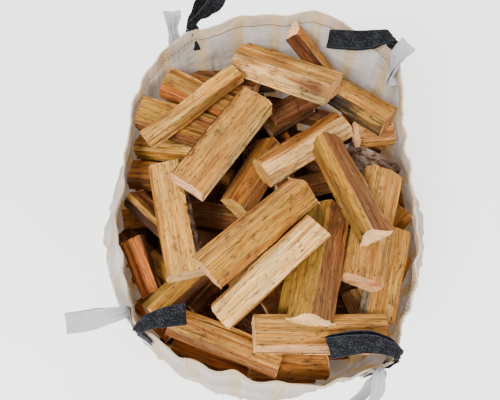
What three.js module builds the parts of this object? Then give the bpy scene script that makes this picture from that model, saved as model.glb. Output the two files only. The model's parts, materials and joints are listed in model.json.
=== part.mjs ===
import * as THREE from "three";

// All sizes are millimetres and angles degrees. The bag stands on z = 0 with its front towards -y.
const BASE_HALF = 400;
const BASE_SQUARENESS = 6;
const BASE_EDGE = 22;
const BELLY_RADIUS = 505;
const BELLY_LOW = 0.4;
const BELLY_HIGH = 0.62;
const FABRIC = 3.2;
const HEM_HEIGHT = 45;
const HEM_THICK = 5.4;
const AROUND = 80;
const WALL_LEVELS = [0.08, 0.2, 0.32, 0.44, 0.56, 0.68, 0.8, 0.9];
const CORNER_PINCH = 20;
const CORNER_SPREAD = 7;

// The mouth, anticlockwise from the right: x, y and the height of its edge.
const RIM_POINTS = [
  [400, 0, 785],
  [388, 95, 795],
  [365, 195, 815],
  [348, 300, 840],
  [309, 388, 882],
  [265, 440, 905],
  [195, 465, 920],
  [110, 500, 930],
  [0, 490, 930],
  [-95, 478, 928],
  [-165, 455, 920],
  [-281, 395, 878],
  [-350, 355, 855],
  [-405, 268, 825],
  [-412, 162, 808],
  [-402, 56, 795],
  [-392, -60, 785],
  [-388, -155, 776],
  [-350, -245, 768],
  [-300, -330, 762],
  [-269, -384, 758],
  [-165, -452, 742],
  [-50, -478, 730],
  [70, -486, 722],
  [175, -480, 726],
  [255, -445, 742],
  [320, -394, 758],
  [365, -330, 760],
  [398, -235, 765],
  [412, -120, 772],
];
const CORNERS = { back_left: 11, back_right: 4, front_left: 20, front_right: 26 };

const LOWER_GAP = 4;
const LOWER_TOP = 505;
const REST_GAP = 0.6;
const WALL_GAP = 5;

const STRAP_WIDE = 50;
const STRAP_THICK = 2.6;
const STRAP_STEPS = 17;
const STRAP_TURNS = 5;
const PLY_GAP = 4;
const SEWN_LENGTH = 85;
const SEWN_OFFSET = 9.5;
const GATHERED = 0.55;
const MOUTH_CLEAR = 20;

// Each sewn loop: its corner, how many degrees round it sits, and the way its two plies take above the
// mouth from where they cross its edge: x, y and height, the lean of the width of the webbing, and the
// gap between the plies.
const LOOPS = {
  loop_black_back_left: ["back_left", -3.2, [
    [12, 4, 26, -0.75, -0.55, 0.2, 16], [36, 13, 54, -0.65, -0.3, 0.6, 44], [62, 25, 79, -0.55, -0.1, 0.8, 58]]],
  loop_white_back_left: ["back_left", 3.2, [
    [0, 2, 22, -0.8, -0.5, 0.2, 8], [2, 6, 46, -0.85, -0.4, 0.2, 14], [4, 9, 66, -0.85, -0.3, 0.2, 14]]],
  loop_black_back_right: ["back_right", 3.2, [
    [-10, -3, 20, -0.7, 0.65, 0.3, 10], [-34, -10, 30, -0.45, 0.8, 0.4, 18], [-66, -13, 19, -0.3, 0.9, 0.4, 21],
    [-104, -4, 1, -0.2, 0.9, 0.4, 21], [-150, 9, -16, -0.15, 0.9, 0.4, 18], [-172, 14, -22, -0.15, 0.9, 0.4, 14]]],
  loop_white_back_right: ["back_right", -3.2, [
    [-4, 2, 26, -0.5, 0.85, 0.05, 10], [0, 8, 56, -0.65, 0.7, 0.15, 16], [14, 14, 84, -0.75, 0.55, 0.3, 16]]],
  loop_white_front_left: ["front_left", -3.2, [
    [-5, -9, 22, 0.4, -0.9, 0, 12], [-30, -20, 30, 0.3, -0.9, -0.2, 20], [-66, -31, 22, 0.2, -0.9, -0.4, 20],
    [-104, -37, -2, 0.1, -0.9, -0.42, 18], [-138, -41, -22, 0.1, -0.9, -0.42, 14]]],
  loop_black_front_left: ["front_left", 3.2, [
    [10, 8, 18, 0.75, -0.65, -0.1, 8], [34, 22, 32, 0.5, -0.85, -0.2, 16], [72, 36, 36, 0.25, -0.9, -0.3, 16],
    [102, 46, 30, 0.2, -0.9, -0.3, 14]]],
  loop_black_front_right: ["front_right", 3.2, [
    [-12, 5, 22, 0.72, 0.6, 0.35, 12], [-40, 13, 34, 0.5, 0.7, 0.5, 18], [-78, 15, 36, 0.25, 0.75, 0.6, 18],
    [-118, 8, 31, 0.05, 0.8, 0.6, 18], [-160, -4, 20, -0.1, 0.85, 0.5, 14]]],
  loop_white_front_right: ["front_right", -3.2, [
    [-4, -12, 18, 0.8, 0.58, 0, 20], [-14, -44, 12, 0.83, 0.5, 0, 26], [-28, -70, -36, 0.92, 0.35, 0, 24],
    [-34, -80, -80, 0.95, 0.3, 0, 24], [-37, -86, -116, 0.95, 0.3, 0, 18]]],
};

// Outlines of the split sections, half a unit each way, anticlockwise as seen from the far end.
const SECTIONS = {
  quarter: [[-0.5, -0.12], [-0.33, -0.4], [0, -0.5], [0.34, -0.38], [0.5, -0.1], [0.06, 0.5], [-0.06, 0.47]],
  half: [[-0.5, 0.34], [-0.49, 0], [-0.3, -0.38], [0, -0.5], [0.3, -0.37], [0.48, 0], [0.5, 0.36], [0.05, 0.5]],
  board: [[-0.5, -0.4], [-0.42, -0.5], [0.46, -0.46], [0.5, 0.3], [0.4, 0.5], [-0.38, 0.46], [-0.48, 0.2]],
  block: [[-0.46, -0.46], [0.4, -0.5], [0.5, -0.2], [0.46, 0.38], [0.05, 0.5], [-0.42, 0.4], [-0.5, 0.05]],
  wedge: [[-0.5, -0.42], [-0.3, -0.5], [0.46, -0.34], [0.5, -0.14], [-0.12, 0.5], [-0.36, 0.42]],
  branch: [[-0.5, 0], [-0.35, -0.36], [0, -0.5], [0.36, -0.35], [0.5, 0.02], [0.34, 0.37], [0, 0.5], [-0.36, 0.35]],
};

// Each log in the mouth, lowest first: x, y and height of its middle, heading, pitch, roll, section, wide,
// thick, long and colour.
const LOGS = [
  ["log_fill_left", -125, -15, 560, -2, 0, 10, "block", 90, 65, 220, "dark"],
  ["log_fill_right", 175, 215, 570, -36, 0, -12, "block", 90, 65, 220, "dark"],
  ["log_middle_left_low", -130, -215, 570, 54, 0, 12, "block", 85, 65, 200, "brown"],
  ["log_front_hidden", 140, -465, 560, 0, 0, 4, "half", 75, 50, 170, "brown"],
  ["log_back_dark", -140, 440, 700, 4, -4, 8, "block", 80, 65, 190, "dark"],
  ["log_middle_low", 30, 345, 640, 42, 3, 10, "block", 90, 60, 165, "dark"],
  ["log_gap_back", 0, 195, 560, -44, -3, 8, "block", 90, 60, 165, "brown"],
  ["log_gap_right", 385, 110, 575, -80, 0, -8, "half", 70, 60, 150, "brown"],
  ["log_gap_front", 15, -300, 550, -37, 0, 14, "quarter", 90, 60, 170, "brown"],
  ["log_right_narrow", 310, 335, 650, 1, 3, -8, "board", 75, 42, 160, "brown"],
  ["log_right_grey", 325, 200, 655, -20, 0, 20, "half", 90, 65, 170, "grey"],
  ["log_right_low", 390, -5, 560, -125, 4, -10, "block", 70, 50, 140, "brown"],
  ["log_centre_right_low", 260, -245, 560, -176, 3, 10, "block", 80, 60, 150, "brown"],
  ["log_front_left_low", -375, -155, 580, -35, 0, 18, "wedge", 75, 55, 150, "red"],
  ["log_front_left_small", -265, -220, 580, -35, 4, -14, "block", 62, 48, 120, "brown"],
  ["log_front_left_corner", -270, -355, 590, -34, 5, 10, "quarter", 72, 52, 140, "brown"],
  ["log_back_right_low", 275, 440, 680, -28, 3, -14, "wedge", 85, 65, 160, "brown"],
  ["log_front_low", -120, -450, 600, -12, 3, 8, "wedge", 70, 50, 220, "orange"],
  ["log_front_orange", 135, -445, 610, -5, -6, -18, "block", 85, 62, 210, "orange"],
  ["log_front_right_corner", 315, -275, 580, 116, -8, 6, "block", 70, 55, 140, "pinkish"],
  ["log_right_wall", 395, -205, 590, -108, 3, 10, "wedge", 52, 42, 210, "red"],
  ["log_left_orange", -345, 60, 660, -3, -3, -10, "block", 85, 60, 190, "orange"],
  ["log_left_narrow", -360, 140, 690, -9, -3, 14, "wedge", 75, 52, 190, "pale"],
  ["log_back_middle_low", 0, 435, 780, -40, 0, -10, "quarter", 82, 65, 160, "dark"],
  ["log_back_left_brown", -205, 400, 750, -18, -3, 10, "wedge", 82, 60, 200, "brown"],
  ["log_right_pinkish", 350, 265, 690, 19, 0, 12, "block", 78, 52, 120, "pinkish"],
  ["log_middle_orange", -40, 98, 630, 68, 0, 44, "block", 96, 84, 240, "orange"],
  ["log_middle_stub", 125, 70, 655, 22, 0, -8, "block", 95, 70, 190, "dark"],
  ["log_left_slanting", -310, -95, 680, -33, 0, -6, "wedge", 78, 55, 250, "brown"],
  ["log_front_left_steep", -325, -220, 655, -53, -20, 16, "block", 66, 54, 160, "red"],
  ["log_front_left_pale", -190, -225, 680, 54, -4, -24, "block", 82, 66, 290, "golden"],
  ["log_back_left_orange", -245, 330, 770, -19, -5, -12, "block", 88, 68, 240, "orange"],
  ["log_left_board", -315, 230, 770, -10, -4, 4, "board", 104, 58, 230, "golden"],
  ["log_centre_thin", 95, -240, 712, -96, 4, 4, "board", 42, 38, 160, "golden"],
  ["log_right_red", 360, -175, 650, -105, 5, 30, "wedge", 100, 66, 260, "red"],
  ["log_middle_rounded", 105, 185, 725, 43, -3, -10, "branch", 108, 88, 300, "orange"],
  ["log_right_upright", 290, -67, 740, -99, 2, -14, "block", 108, 66, 330, "golden"],
  ["log_back_right_long", 266, 330, 755, -20, 4, -12, "block", 88, 68, 190, "dark"],
  ["log_front_long", -85, -428, 705, -16, -4, -16, "block", 74, 56, 290, "brown"],
  ["log_front_right_level", 176, -362, 725, 8, -2, -10, "board", 88, 56, 320, "pinkish"],
  ["log_centre_upright", 180, -190, 750, -96, 10, 8, "quarter", 116, 76, 330, "golden"],
  ["log_left_upright", -235, -105, 750, -70, -3, 4, "board", 104, 60, 330, "pale"],
  ["log_back_big", 10, 350, 805, -22, 6, -22, "block", 108, 76, 310, "golden"],
  ["log_back_leaning", 62, 420, 848, -12, -48, 8, "wedge", 70, 58, 190, "dark"],
  ["log_centre_pinkish", 35, -240, 770, -132, 3, -20, "board", 80, 56, 330, "pinkish"],
  ["log_right_golden", 215, 15, 820, -65, 5, 6, "wedge", 90, 74, 320, "golden"],
  ["log_top_board", -135, 105, 805, -117, -2, 8, "board", 116, 60, 330, "pale"],
  ["log_centre_big", 5, -150, 830, -131, -2, 2, "quarter", 110, 78, 330, "golden"],
  ["log_top_slim", -235, 205, 835, -132, -4, 8, "block", 58, 50, 330, "pale"],
];

const radians = (angle) => (angle * Math.PI) / 180;
const smooth = (t) => t * t * (3 - 2 * t);
const blend = (a, b, t) => a + (b - a) * t;

// A steady small irregularity between -1 and 1 for a whole number.
function jitter(n) {
  const s = Math.sin(n * 12.9898 + 4.1) * 43758.5453;
  return (s - Math.floor(s)) * 2 - 1;
}

function rimStations() {
  const stations = RIM_POINTS.map(([x, y, z]) => ({
    angle: (Math.atan2(y, x) + Math.PI * 2) % (Math.PI * 2),
    radius: Math.hypot(x, y),
    height: z,
  }));
  return stations.sort((a, b) => a.angle - b.angle);
}

const STATIONS = rimStations();

function cubic(a, b, c, d, t) {
  return b + 0.5 * t * (c - a + t * (2 * a - 5 * b + 4 * c - d + t * (3 * (b - c) + d - a)));
}

// Radius and height of the mouth's edge in any direction, smooth between the points.
function rim(angle) {
  const turn = Math.PI * 2;
  const n = STATIONS.length;
  const at = ((angle % turn) + turn) % turn;
  let i = STATIONS.findIndex((s) => s.angle > at);
  if (i < 0) i = n;
  const pick = (k) => STATIONS[(k + n) % n];
  const before = pick(i - 1);
  const after = pick(i);
  const span = (after.angle - before.angle + turn) % turn;
  const t = ((at - before.angle + turn) % turn) / span;
  const of = (key) => cubic(pick(i - 2)[key], before[key], after[key], pick(i + 1)[key], t);
  return { radius: of("radius") + pinch(at), height: of("height") + pinch(at) * 0.5 };
}

// The outward point that each sewn corner makes in the mouth.
function pinch(angle) {
  let most = 0;
  for (const index of Object.values(CORNERS)) {
    const [x, y] = RIM_POINTS[index];
    const apart = Math.atan2(Math.sin(angle - Math.atan2(y, x)), Math.cos(angle - Math.atan2(y, x)));
    most = Math.max(most, CORNER_PINCH * Math.exp(-((apart / radians(CORNER_SPREAD)) ** 2)));
  }
  return most;
}

function baseRadius(angle) {
  const n = BASE_SQUARENESS;
  return BASE_HALF / (Math.abs(Math.cos(angle)) ** n + Math.abs(Math.sin(angle)) ** n) ** (1 / n);
}

// Outside radius of the bag in a direction, at a share of the wall's height.
function wallRadius(angle, share) {
  const base = baseRadius(angle);
  if (share < BELLY_LOW) return blend(base, BELLY_RADIUS, smooth(Math.max(share, 0) / BELLY_LOW));
  if (share < BELLY_HIGH) return BELLY_RADIUS;
  const t = smooth(Math.min((share - BELLY_HIGH) / (1 - BELLY_HIGH), 1));
  return blend(BELLY_RADIUS, rim(angle).radius, t);
}

function wallPoint(angle, z, outward) {
  const radius = wallRadius(angle, z / rim(angle).height) + outward;
  return new THREE.Vector3(radius * Math.cos(angle), radius * Math.sin(angle), z);
}

// Closes a stack of rings, all with the same count of points, with a centre point at each end.
function loft(rings) {
  const n = rings[0].length;
  const points = rings.flat();
  const faces = [];
  for (let k = 0; k + 1 < rings.length; k++) {
    for (let i = 0; i < n; i++) {
      const j = (i + 1) % n;
      faces.push([k * n + i, k * n + j, (k + 1) * n + j], [k * n + i, (k + 1) * n + j, (k + 1) * n + i]);
    }
  }
  const last = (rings.length - 1) * n;
  points.push(middle(rings[0]), middle(rings[rings.length - 1]));
  for (let i = 0; i < n; i++) {
    const j = (i + 1) % n;
    faces.push([points.length - 2, j, i], [points.length - 1, last + i, last + j]);
  }
  return solid(points, faces);
}

function middle(ring) {
  const sum = new THREE.Vector3();
  for (const p of ring) sum.add(p);
  return sum.divideScalar(ring.length);
}

function solid(points, faces) {
  const geometry = new THREE.BufferGeometry();
  geometry.setAttribute("position", new THREE.Float32BufferAttribute(points.flatMap((p) => p.toArray()), 3));
  geometry.setIndex(faces.flat());
  geometry.computeVertexNormals();
  return geometry;
}

function ring(place) {
  const points = [];
  for (let i = 0; i < AROUND; i++) points.push(place((i / AROUND) * Math.PI * 2));
  return points;
}

function polar(angle, radius, z) {
  return new THREE.Vector3(radius * Math.cos(angle), radius * Math.sin(angle), z);
}

function bagGeometry() {
  const rings = [];
  rings.push(ring((a) => polar(a, baseRadius(a) * 0.5, 0)));
  rings.push(ring((a) => polar(a, baseRadius(a) - BASE_EDGE, 0)));
  rings.push(ring((a) => polar(a, baseRadius(a), BASE_EDGE)));
  for (const s of WALL_LEVELS) rings.push(ring((a) => wallPoint(a, s * rim(a).height, 0)));
  rings.push(ring((a) => wallPoint(a, rim(a).height - HEM_HEIGHT, 0)));
  rings.push(ring((a) => wallPoint(a, rim(a).height - HEM_HEIGHT + 2, 1)));
  rings.push(ring((a) => wallPoint(a, rim(a).height - 2, 1)));
  rings.push(ring((a) => wallPoint(a, rim(a).height, -1)));
  rings.push(ring((a) => wallPoint(a, rim(a).height, 1 - HEM_THICK)));
  rings.push(ring((a) => wallPoint(a, rim(a).height - 2, -HEM_THICK)));
  rings.push(ring((a) => wallPoint(a, rim(a).height - HEM_HEIGHT, -HEM_THICK)));
  for (const s of [...WALL_LEVELS].reverse()) rings.push(ring((a) => wallPoint(a, s * rim(a).height, -FABRIC)));
  rings.push(ring((a) => polar(a, baseRadius(a) - FABRIC, BASE_EDGE)));
  rings.push(ring((a) => polar(a, baseRadius(a) - BASE_EDGE, FABRIC)));
  rings.push(ring((a) => polar(a, baseRadius(a) * 0.5, FABRIC)));
  return loft(rings);
}

// The logs underneath, filling the bag up to a level top.
function lowerGeometry() {
  const inner = (a, z) => wallRadius(a, z / rim(a).height) - FABRIC - LOWER_GAP;
  const rings = [];
  rings.push(ring((a) => polar(a, baseRadius(a) - BASE_EDGE - LOWER_GAP, FABRIC + 1)));
  rings.push(ring((a) => polar(a, baseRadius(a) - FABRIC - LOWER_GAP, BASE_EDGE + LOWER_GAP)));
  for (const s of WALL_LEVELS.slice(0, 4)) {
    rings.push(ring((a) => polar(a, inner(a, s * rim(a).height), s * rim(a).height)));
  }
  rings.push(ring((a) => polar(a, inner(a, LOWER_TOP) - 12, LOWER_TOP)));
  return loft(rings);
}

// The outline points of a log at both ends, in its own axes and then turned to lie as it does.
function logPoints(log, pose) {
  const head = radians(pose.heading);
  const tilt = radians(pose.pitch);
  const along = new THREE.Vector3(Math.cos(head) * Math.cos(tilt), Math.sin(head) * Math.cos(tilt), Math.sin(tilt));
  const side = new THREE.Vector3(-Math.sin(head), Math.cos(head), 0);
  const up = new THREE.Vector3().crossVectors(along, side);
  const turn = radians(pose.roll);
  const across = side.clone().multiplyScalar(Math.cos(turn)).addScaledVector(up, Math.sin(turn));
  const rise = up.clone().multiplyScalar(Math.cos(turn)).addScaledVector(side, -Math.sin(turn));
  const points = [];
  for (const end of [-1, 1]) {
    log.outline.forEach(([u, v]) => {
      const trim = (u * log.cut[end > 0 ? 0 : 1] + v * log.cut[end > 0 ? 2 : 3]) * 0.08;
      const p = new THREE.Vector3(pose.x, pose.y, 0);
      p.addScaledVector(along, (end * log.long) / 2 + trim * log.wide);
      p.addScaledVector(across, u * log.wide).addScaledVector(rise, v * log.thick);
      points.push(p);
    });
  }
  return points;
}

// How far a falling convex solid must be lifted to clear a lying one: the least gap between two
// parallel planes, one over the lying solid and one under the falling one, over all their slopes.
function lift(falling, lying) {
  const steepest = 30;
  const golden = (Math.sqrt(5) - 1) / 2;
  const gap = (p, q) => {
    let over = -Infinity;
    let under = Infinity;
    for (const b of lying) over = Math.max(over, b.z - p * b.x - q * b.y);
    for (const a of falling) under = Math.min(under, a.z - p * a.x - q * a.y);
    return over - under;
  };
  const least = (f) => {
    let low = -steepest;
    let high = steepest;
    let a = high - golden * (high - low);
    let b = low + golden * (high - low);
    let fa = f(a);
    let fb = f(b);
    for (let i = 0; i < 22; i++) {
      if (fa < fb) {
        high = b;
        b = a;
        fb = fa;
        a = high - golden * (high - low);
        fa = f(a);
      } else {
        low = a;
        a = b;
        fa = fb;
        b = low + golden * (high - low);
        fb = f(b);
      }
    }
    return Math.min(fa, fb);
  };
  return least((p) => least((q) => gap(p, q)));
}

// Whether two boxes overlap in plan.
function near(a, b) {
  const reach = 4;
  const clearX = a.max.x + reach < b.min.x || b.max.x + reach < a.min.x;
  return !(clearX || a.max.y + reach < b.min.y || b.max.y + reach < a.min.y);
}

// The height at which a log comes to rest on the lower logs and on those already lying.
function restHeight(points, lying, least) {
  const box = new THREE.Box3().setFromPoints(points);
  let height = Math.max(least, LOWER_TOP - box.min.z);
  for (const other of lying) {
    if (near(box, other.box) && other.box.max.z - box.min.z > height) {
      height = Math.max(height, lift(points, other.points));
    }
  }
  return height + REST_GAP;
}

// How far the worst point of a log would stand outside the bag's inner face.
function outside(points, height) {
  let worst = 0;
  for (const p of points) {
    const angle = Math.atan2(p.y, p.x);
    const edge = rim(angle).height;
    const share = Math.min((p.z + height) / edge, 1);
    worst = Math.max(worst, Math.hypot(p.x, p.y) - (wallRadius(angle, share) - HEM_THICK - WALL_GAP));
  }
  return worst;
}

function strain(log, pose, lying) {
  const points = logPoints(log, pose);
  const height = restHeight(points, lying, log.height);
  const moved = Math.hypot(pose.x - log.pose.x, pose.y - log.pose.y);
  const turned = Math.abs(pose.pitch - log.pose.pitch) + 0.5 * Math.abs(pose.roll - log.pose.roll);
  const swung = Math.abs(pose.heading - log.pose.heading);
  const out = outside(points, height);
  return height + 0.9 * moved + 2 * turned + 3 * swung + 60 * Math.max(out, 0);
}

// Lets a log slip and turn a little from its listed place until it lies as low as it can.
function settle(log, lying) {
  let pose = { ...log.pose };
  let best = strain(log, pose, lying);
  for (const step of [12, 6, 3, 1.5]) {
    for (let round = 0; round < 5; round++) {
      const before = best;
      for (const key of ["x", "y", "pitch", "roll", "heading"]) {
        const size = key === "x" || key === "y" ? step : step / 2;
        for (const way of [-size, size]) {
          const tried = { ...pose, [key]: pose[key] + way };
          const cost = strain(log, tried, lying);
          if (cost < best) {
            best = cost;
            pose = tried;
          }
        }
      }
      if (best === before) break;
    }
  }
  const points = logPoints(log, pose);
  const height = restHeight(points, lying, log.height);
  for (const p of points) p.z += height;
  return points;
}

function readLog(row, index) {
  const [name, x, y, height, heading, pitch, roll, section, wide, thick, long, colour] = row;
  const outline = SECTIONS[section].map(([u, v], i) => [
    u * (1 + 0.05 * jitter(index * 31 + i)),
    v * (1 + 0.05 * jitter(index * 47 + i + 7)),
  ]);
  const cut = [0, 1, 2, 3].map((i) => jitter(index * 13 + i));
  return { name, colour, height, outline, cut, wide, thick, long, pose: { x, y, heading, pitch, roll } };
}

function logGeometry(points) {
  const n = points.length / 2;
  const faces = [];
  for (let i = 0; i < n; i++) {
    const j = (i + 1) % n;
    faces.push([i, j, n + j], [i, n + j, n + i]);
  }
  for (let i = 1; i + 1 < n; i++) faces.push([0, i + 1, i], [n, n + i, n + i + 1]);
  return solid(points, faces);
}

function layLogs() {
  const lying = [];
  LOGS.forEach((row, index) => {
    const log = readLog(row, index);
    const points = settle(log, lying);
    lying.push({ name: log.name, colour: log.colour, points, box: new THREE.Box3().setFromPoints(points) });
  });
  return lying;
}

// Where the two plies of the webbing lie sewn against the wall, at a depth below the mouth's edge.
function sewn(angle, below, gap, wide) {
  const half = Math.asin(STRAP_WIDE / 2 / BELLY_RADIUS);
  const z = rim(angle).height - below;
  const left = wallPoint(angle - half, z, SEWN_OFFSET);
  const right = wallPoint(angle + half, z, SEWN_OFFSET);
  return { at: left.clone().lerp(right, 0.5), across: right.sub(left).normalize(), gap, wide };
}

// The middle line between the two plies, with its direction, its width and its gap at even steps.
function spine(stations) {
  const curve = new THREE.CatmullRomCurve3(stations.map((s) => s.at), false, "centripetal");
  const steps = [];
  for (let i = 0; i <= STRAP_STEPS; i++) {
    const t = i / STRAP_STEPS;
    const place = t * (stations.length - 1);
    const k = Math.min(Math.floor(place), stations.length - 2);
    const across = stations[k].across.clone().lerp(stations[k + 1].across, place - k);
    const along = curve.getTangent(t);
    const face = new THREE.Vector3().crossVectors(along, across).normalize();
    across.crossVectors(face, along).normalize();
    const share = smooth(place - k);
    const gap = blend(stations[k].gap, stations[k + 1].gap, share);
    const wide = blend(stations[k].wide, stations[k + 1].wide, share) * STRAP_WIDE;
    steps.push({ at: curve.getPoint(t), along, across, face, gap, wide });
  }
  return steps;
}

// One flat strip of webbing that runs out along one side of the line, turns round its end and runs back.
function strapGeometry(steps) {
  const place = (step, turn) => {
    const inward = step.face.clone().multiplyScalar(Math.cos(turn)).addScaledVector(step.along, -Math.sin(turn));
    const at = step.at.clone().addScaledVector(inward, -step.gap / 2);
    return [[-1, -1], [1, -1], [1, 1], [-1, 1]].map(([a, b]) =>
      at.clone().addScaledVector(step.across, (a * step.wide) / 2).addScaledVector(inward, (b * STRAP_THICK) / 2),
    );
  };
  const last = steps[steps.length - 1];
  const rings = steps.map((step) => place(step, 0));
  for (let i = 1; i < STRAP_TURNS; i++) rings.push(place(last, (i / STRAP_TURNS) * Math.PI));
  for (const step of [...steps].reverse()) rings.push(place(step, Math.PI));
  return loft(rings);
}

function loopGeometry([corner, round, way]) {
  const [x, y] = RIM_POINTS[CORNERS[corner]];
  const angle = Math.atan2(y, x) + radians(round);
  const fixed = [
    sewn(angle, SEWN_LENGTH, PLY_GAP, 1),
    sewn(angle, SEWN_LENGTH / 2, PLY_GAP, 1),
    sewn(angle, 8, PLY_GAP, 0.8),
    sewn(angle, -MOUTH_CLEAR, PLY_GAP * 2, GATHERED),
  ];
  const free = way.map(([dx, dy, dz, ax, ay, az, gap], i) => ({
    at: fixed[3].at.clone().add(new THREE.Vector3(dx, dy, dz)),
    across: new THREE.Vector3(ax, ay, az).normalize(),
    gap,
    wide: Math.min(GATHERED + i * 0.2, 1),
  }));
  return strapGeometry(spine([...fixed, ...free]));
}

const COLOURS = {
  fabric: "#ddd6ca",
  black: "#2b2b2e",
  white: "#dad9dc",
  pale: "#e3c490",
  golden: "#c39a50",
  orange: "#b0672a",
  brown: "#8f5f34",
  pinkish: "#dcb48e",
  grey: "#9a8c7c",
  red: "#6e3018",
  dark: "#4a2c1c",
};

function finish(colour, roughness) {
  return new THREE.MeshStandardMaterial({ color: colour, roughness, metalness: 0 });
}

function named(name, geometry, material) {
  const mesh = new THREE.Mesh(geometry, material);
  mesh.name = name;
  return mesh;
}

const bag = new THREE.Group();
bag.add(named("bag", bagGeometry(), finish(COLOURS.fabric, 0.9)));
bag.add(named("lower_logs", lowerGeometry(), finish(COLOURS.brown, 0.8)));
for (const [name, loop] of Object.entries(LOOPS)) {
  const black = name.startsWith("loop_black");
  bag.add(named(name, loopGeometry(loop), finish(black ? COLOURS.black : COLOURS.white, 0.85)));
}
for (const log of layLogs()) {
  bag.add(named(log.name, logGeometry(log.points), finish(COLOURS[log.colour], 0.75)));
}

// The whole is centred over the origin, standing on z = 0.
const extent = new THREE.Box3().setFromObject(bag);
const centre = extent.getCenter(new THREE.Vector3());
bag.position.set(-centre.x, -centre.y, -extent.min.z);

export default bag;
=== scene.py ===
"""A woven bag heaped to its rim with split beech logs, on a pale studio floor."""

import json
import logging
import math
from dataclasses import dataclass
from enum import Enum
from typing import Any, Callable, Iterable, Optional, Sequence

import bpy
import numpy as np
from mathutils import Matrix, Vector
from mathutils.bvhtree import BVHTree

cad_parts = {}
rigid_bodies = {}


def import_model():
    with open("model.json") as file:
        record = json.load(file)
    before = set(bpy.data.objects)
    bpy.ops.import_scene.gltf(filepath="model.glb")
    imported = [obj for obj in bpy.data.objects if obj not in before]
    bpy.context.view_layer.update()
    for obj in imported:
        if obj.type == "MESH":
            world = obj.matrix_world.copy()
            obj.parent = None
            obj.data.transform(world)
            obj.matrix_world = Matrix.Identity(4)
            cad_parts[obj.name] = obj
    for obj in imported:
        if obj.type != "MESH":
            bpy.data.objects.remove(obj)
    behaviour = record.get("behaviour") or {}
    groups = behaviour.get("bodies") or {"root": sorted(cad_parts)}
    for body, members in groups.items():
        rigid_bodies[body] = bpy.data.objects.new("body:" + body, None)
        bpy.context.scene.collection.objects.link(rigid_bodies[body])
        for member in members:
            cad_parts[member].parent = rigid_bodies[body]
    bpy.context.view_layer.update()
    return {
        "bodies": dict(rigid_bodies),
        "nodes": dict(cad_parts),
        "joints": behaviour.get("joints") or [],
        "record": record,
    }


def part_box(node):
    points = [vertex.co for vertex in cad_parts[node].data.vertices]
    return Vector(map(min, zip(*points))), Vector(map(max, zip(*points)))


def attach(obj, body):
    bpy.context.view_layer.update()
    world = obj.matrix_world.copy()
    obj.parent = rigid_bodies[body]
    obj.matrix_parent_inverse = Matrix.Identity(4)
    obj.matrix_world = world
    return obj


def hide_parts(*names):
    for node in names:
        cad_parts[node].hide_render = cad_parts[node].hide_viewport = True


LOG = logging.getLogger("firewood_bag")
MM = 0.001
Point = tuple[float, float, float]

SAWN_FACING = 0.7  # how squarely a face looks along the log to count as sawn
WOOD_CREASE = math.radians(34)
WALL_RADIUS = 0.505
RIDGES_IN_UNIT = 6.28  # ridges and furrows in one unit of the wave texture, to within 2 per cent
BACK_LEFT, BACK_RIGHT = (-281.0, 395.0), (309.0, 388.0)
FRONT_LEFT, FRONT_RIGHT = (-269.0, -384.0), (320.0, -394.0)


class Tone(Enum):
    """Base colours of dry beech as it weathers and is split, in sRGB hex, and one near-black painted shade
    for faces that lie in shadow.
    """

    PALE = "#DEB578"
    STRAW = "#CE9C4C"
    TAN = "#B48238"
    GOLD = "#B07E26"
    OLIVE = "#9A7322"
    HONEY = "#AA6E2A"
    ORANGE = "#AE6420"
    BROWN = "#80501F"
    UMBER = "#523316"
    RUSSET = "#6C3D1A"
    # painted shade, for the faces of logs that lie in shadow
    DARK = "#241507"
    PINK = "#CC9862"
    BLUSH = "#E4B482"
    GREY = "#7C7060"
    ASH = "#ADA59A"


def linear(code: str) -> tuple[float, float, float, float]:
    """Turns an sRGB hex colour into linear red, green, blue and alpha.

    Args:
        code: The colour as "#RRGGBB".

    Returns:
        The linear colour, fully opaque.
    """
    channels = [int(code[i : i + 2], 16) / 255 for i in (1, 3, 5)]
    low = [c / 12.92 if c <= 0.04045 else ((c + 0.055) / 1.055) ** 2.4 for c in channels]
    return (low[0], low[1], low[2], 1.0)


def add_node(
    tree: bpy.types.NodeTree,
    kind: str,
    values: Optional[dict[Any, Any]] = None,
    links: Optional[dict[Any, Any]] = None,
    stops: Sequence[tuple[float, str]] = (),
    **settings: Any,
) -> bpy.types.Node:
    """Adds one shader node.

    Args:
        tree: The material's node tree.
        kind: The node's type, without the words ShaderNode.
        values: Input name or number to its fixed value.
        links: Input name or number to the output socket that feeds it.
        stops: Place from 0 to 1 and sRGB hex colour of each stop, where the node is a colour ramp.
        **settings: The node's own settings.

    Returns:
        The new node.
    """
    node = tree.nodes.new("ShaderNode" + kind)
    for name, setting in settings.items():
        setattr(node, name, setting)
    for name, value in (values or {}).items():
        node.inputs[name].default_value = value
    for name, socket in (links or {}).items():
        tree.links.new(socket, node.inputs[name])
    if stops:
        elements = node.color_ramp.elements
        while len(elements) < len(stops):
            elements.new(0.5)
        for element, (place, code) in zip(elements, stops):
            element.position = place
            element.color = linear(code)
    return node


def new_material(name: str) -> tuple[bpy.types.Material, bpy.types.NodeTree, bpy.types.Node]:
    """Adds a material.

    Args:
        name: The material's name.

    Returns:
        The material, its node tree and its surface shader.
    """
    material = bpy.data.materials.new(name)
    material.use_nodes = True
    tree = material.node_tree
    return material, tree, tree.nodes["Principled BSDF"]


def darken(
    tree: bpy.types.NodeTree,
    colour: bpy.types.NodeSocket,
    layers: Iterable[tuple[bpy.types.NodeSocket, float, Sequence[tuple[float, str]]]],
) -> bpy.types.NodeSocket:
    """Darkens a colour by one pattern after another.

    Args:
        tree: The material's node tree.
        colour: The colour underneath.
        layers: Each pattern, how strongly it shows from 0 to 1, and the stops that give it its colours.

    Returns:
        The darkened colour.
    """
    for pattern, share, stops in layers:
        layer = add_node(tree, "ValToRGB", links={"Fac": pattern}, stops=stops)
        over = {6: colour, 7: layer.outputs["Color"]}
        colour = add_node(
            tree, "Mix", {0: share}, over, data_type="RGBA", blend_type="MULTIPLY"
        ).outputs[2]
    return colour


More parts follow.
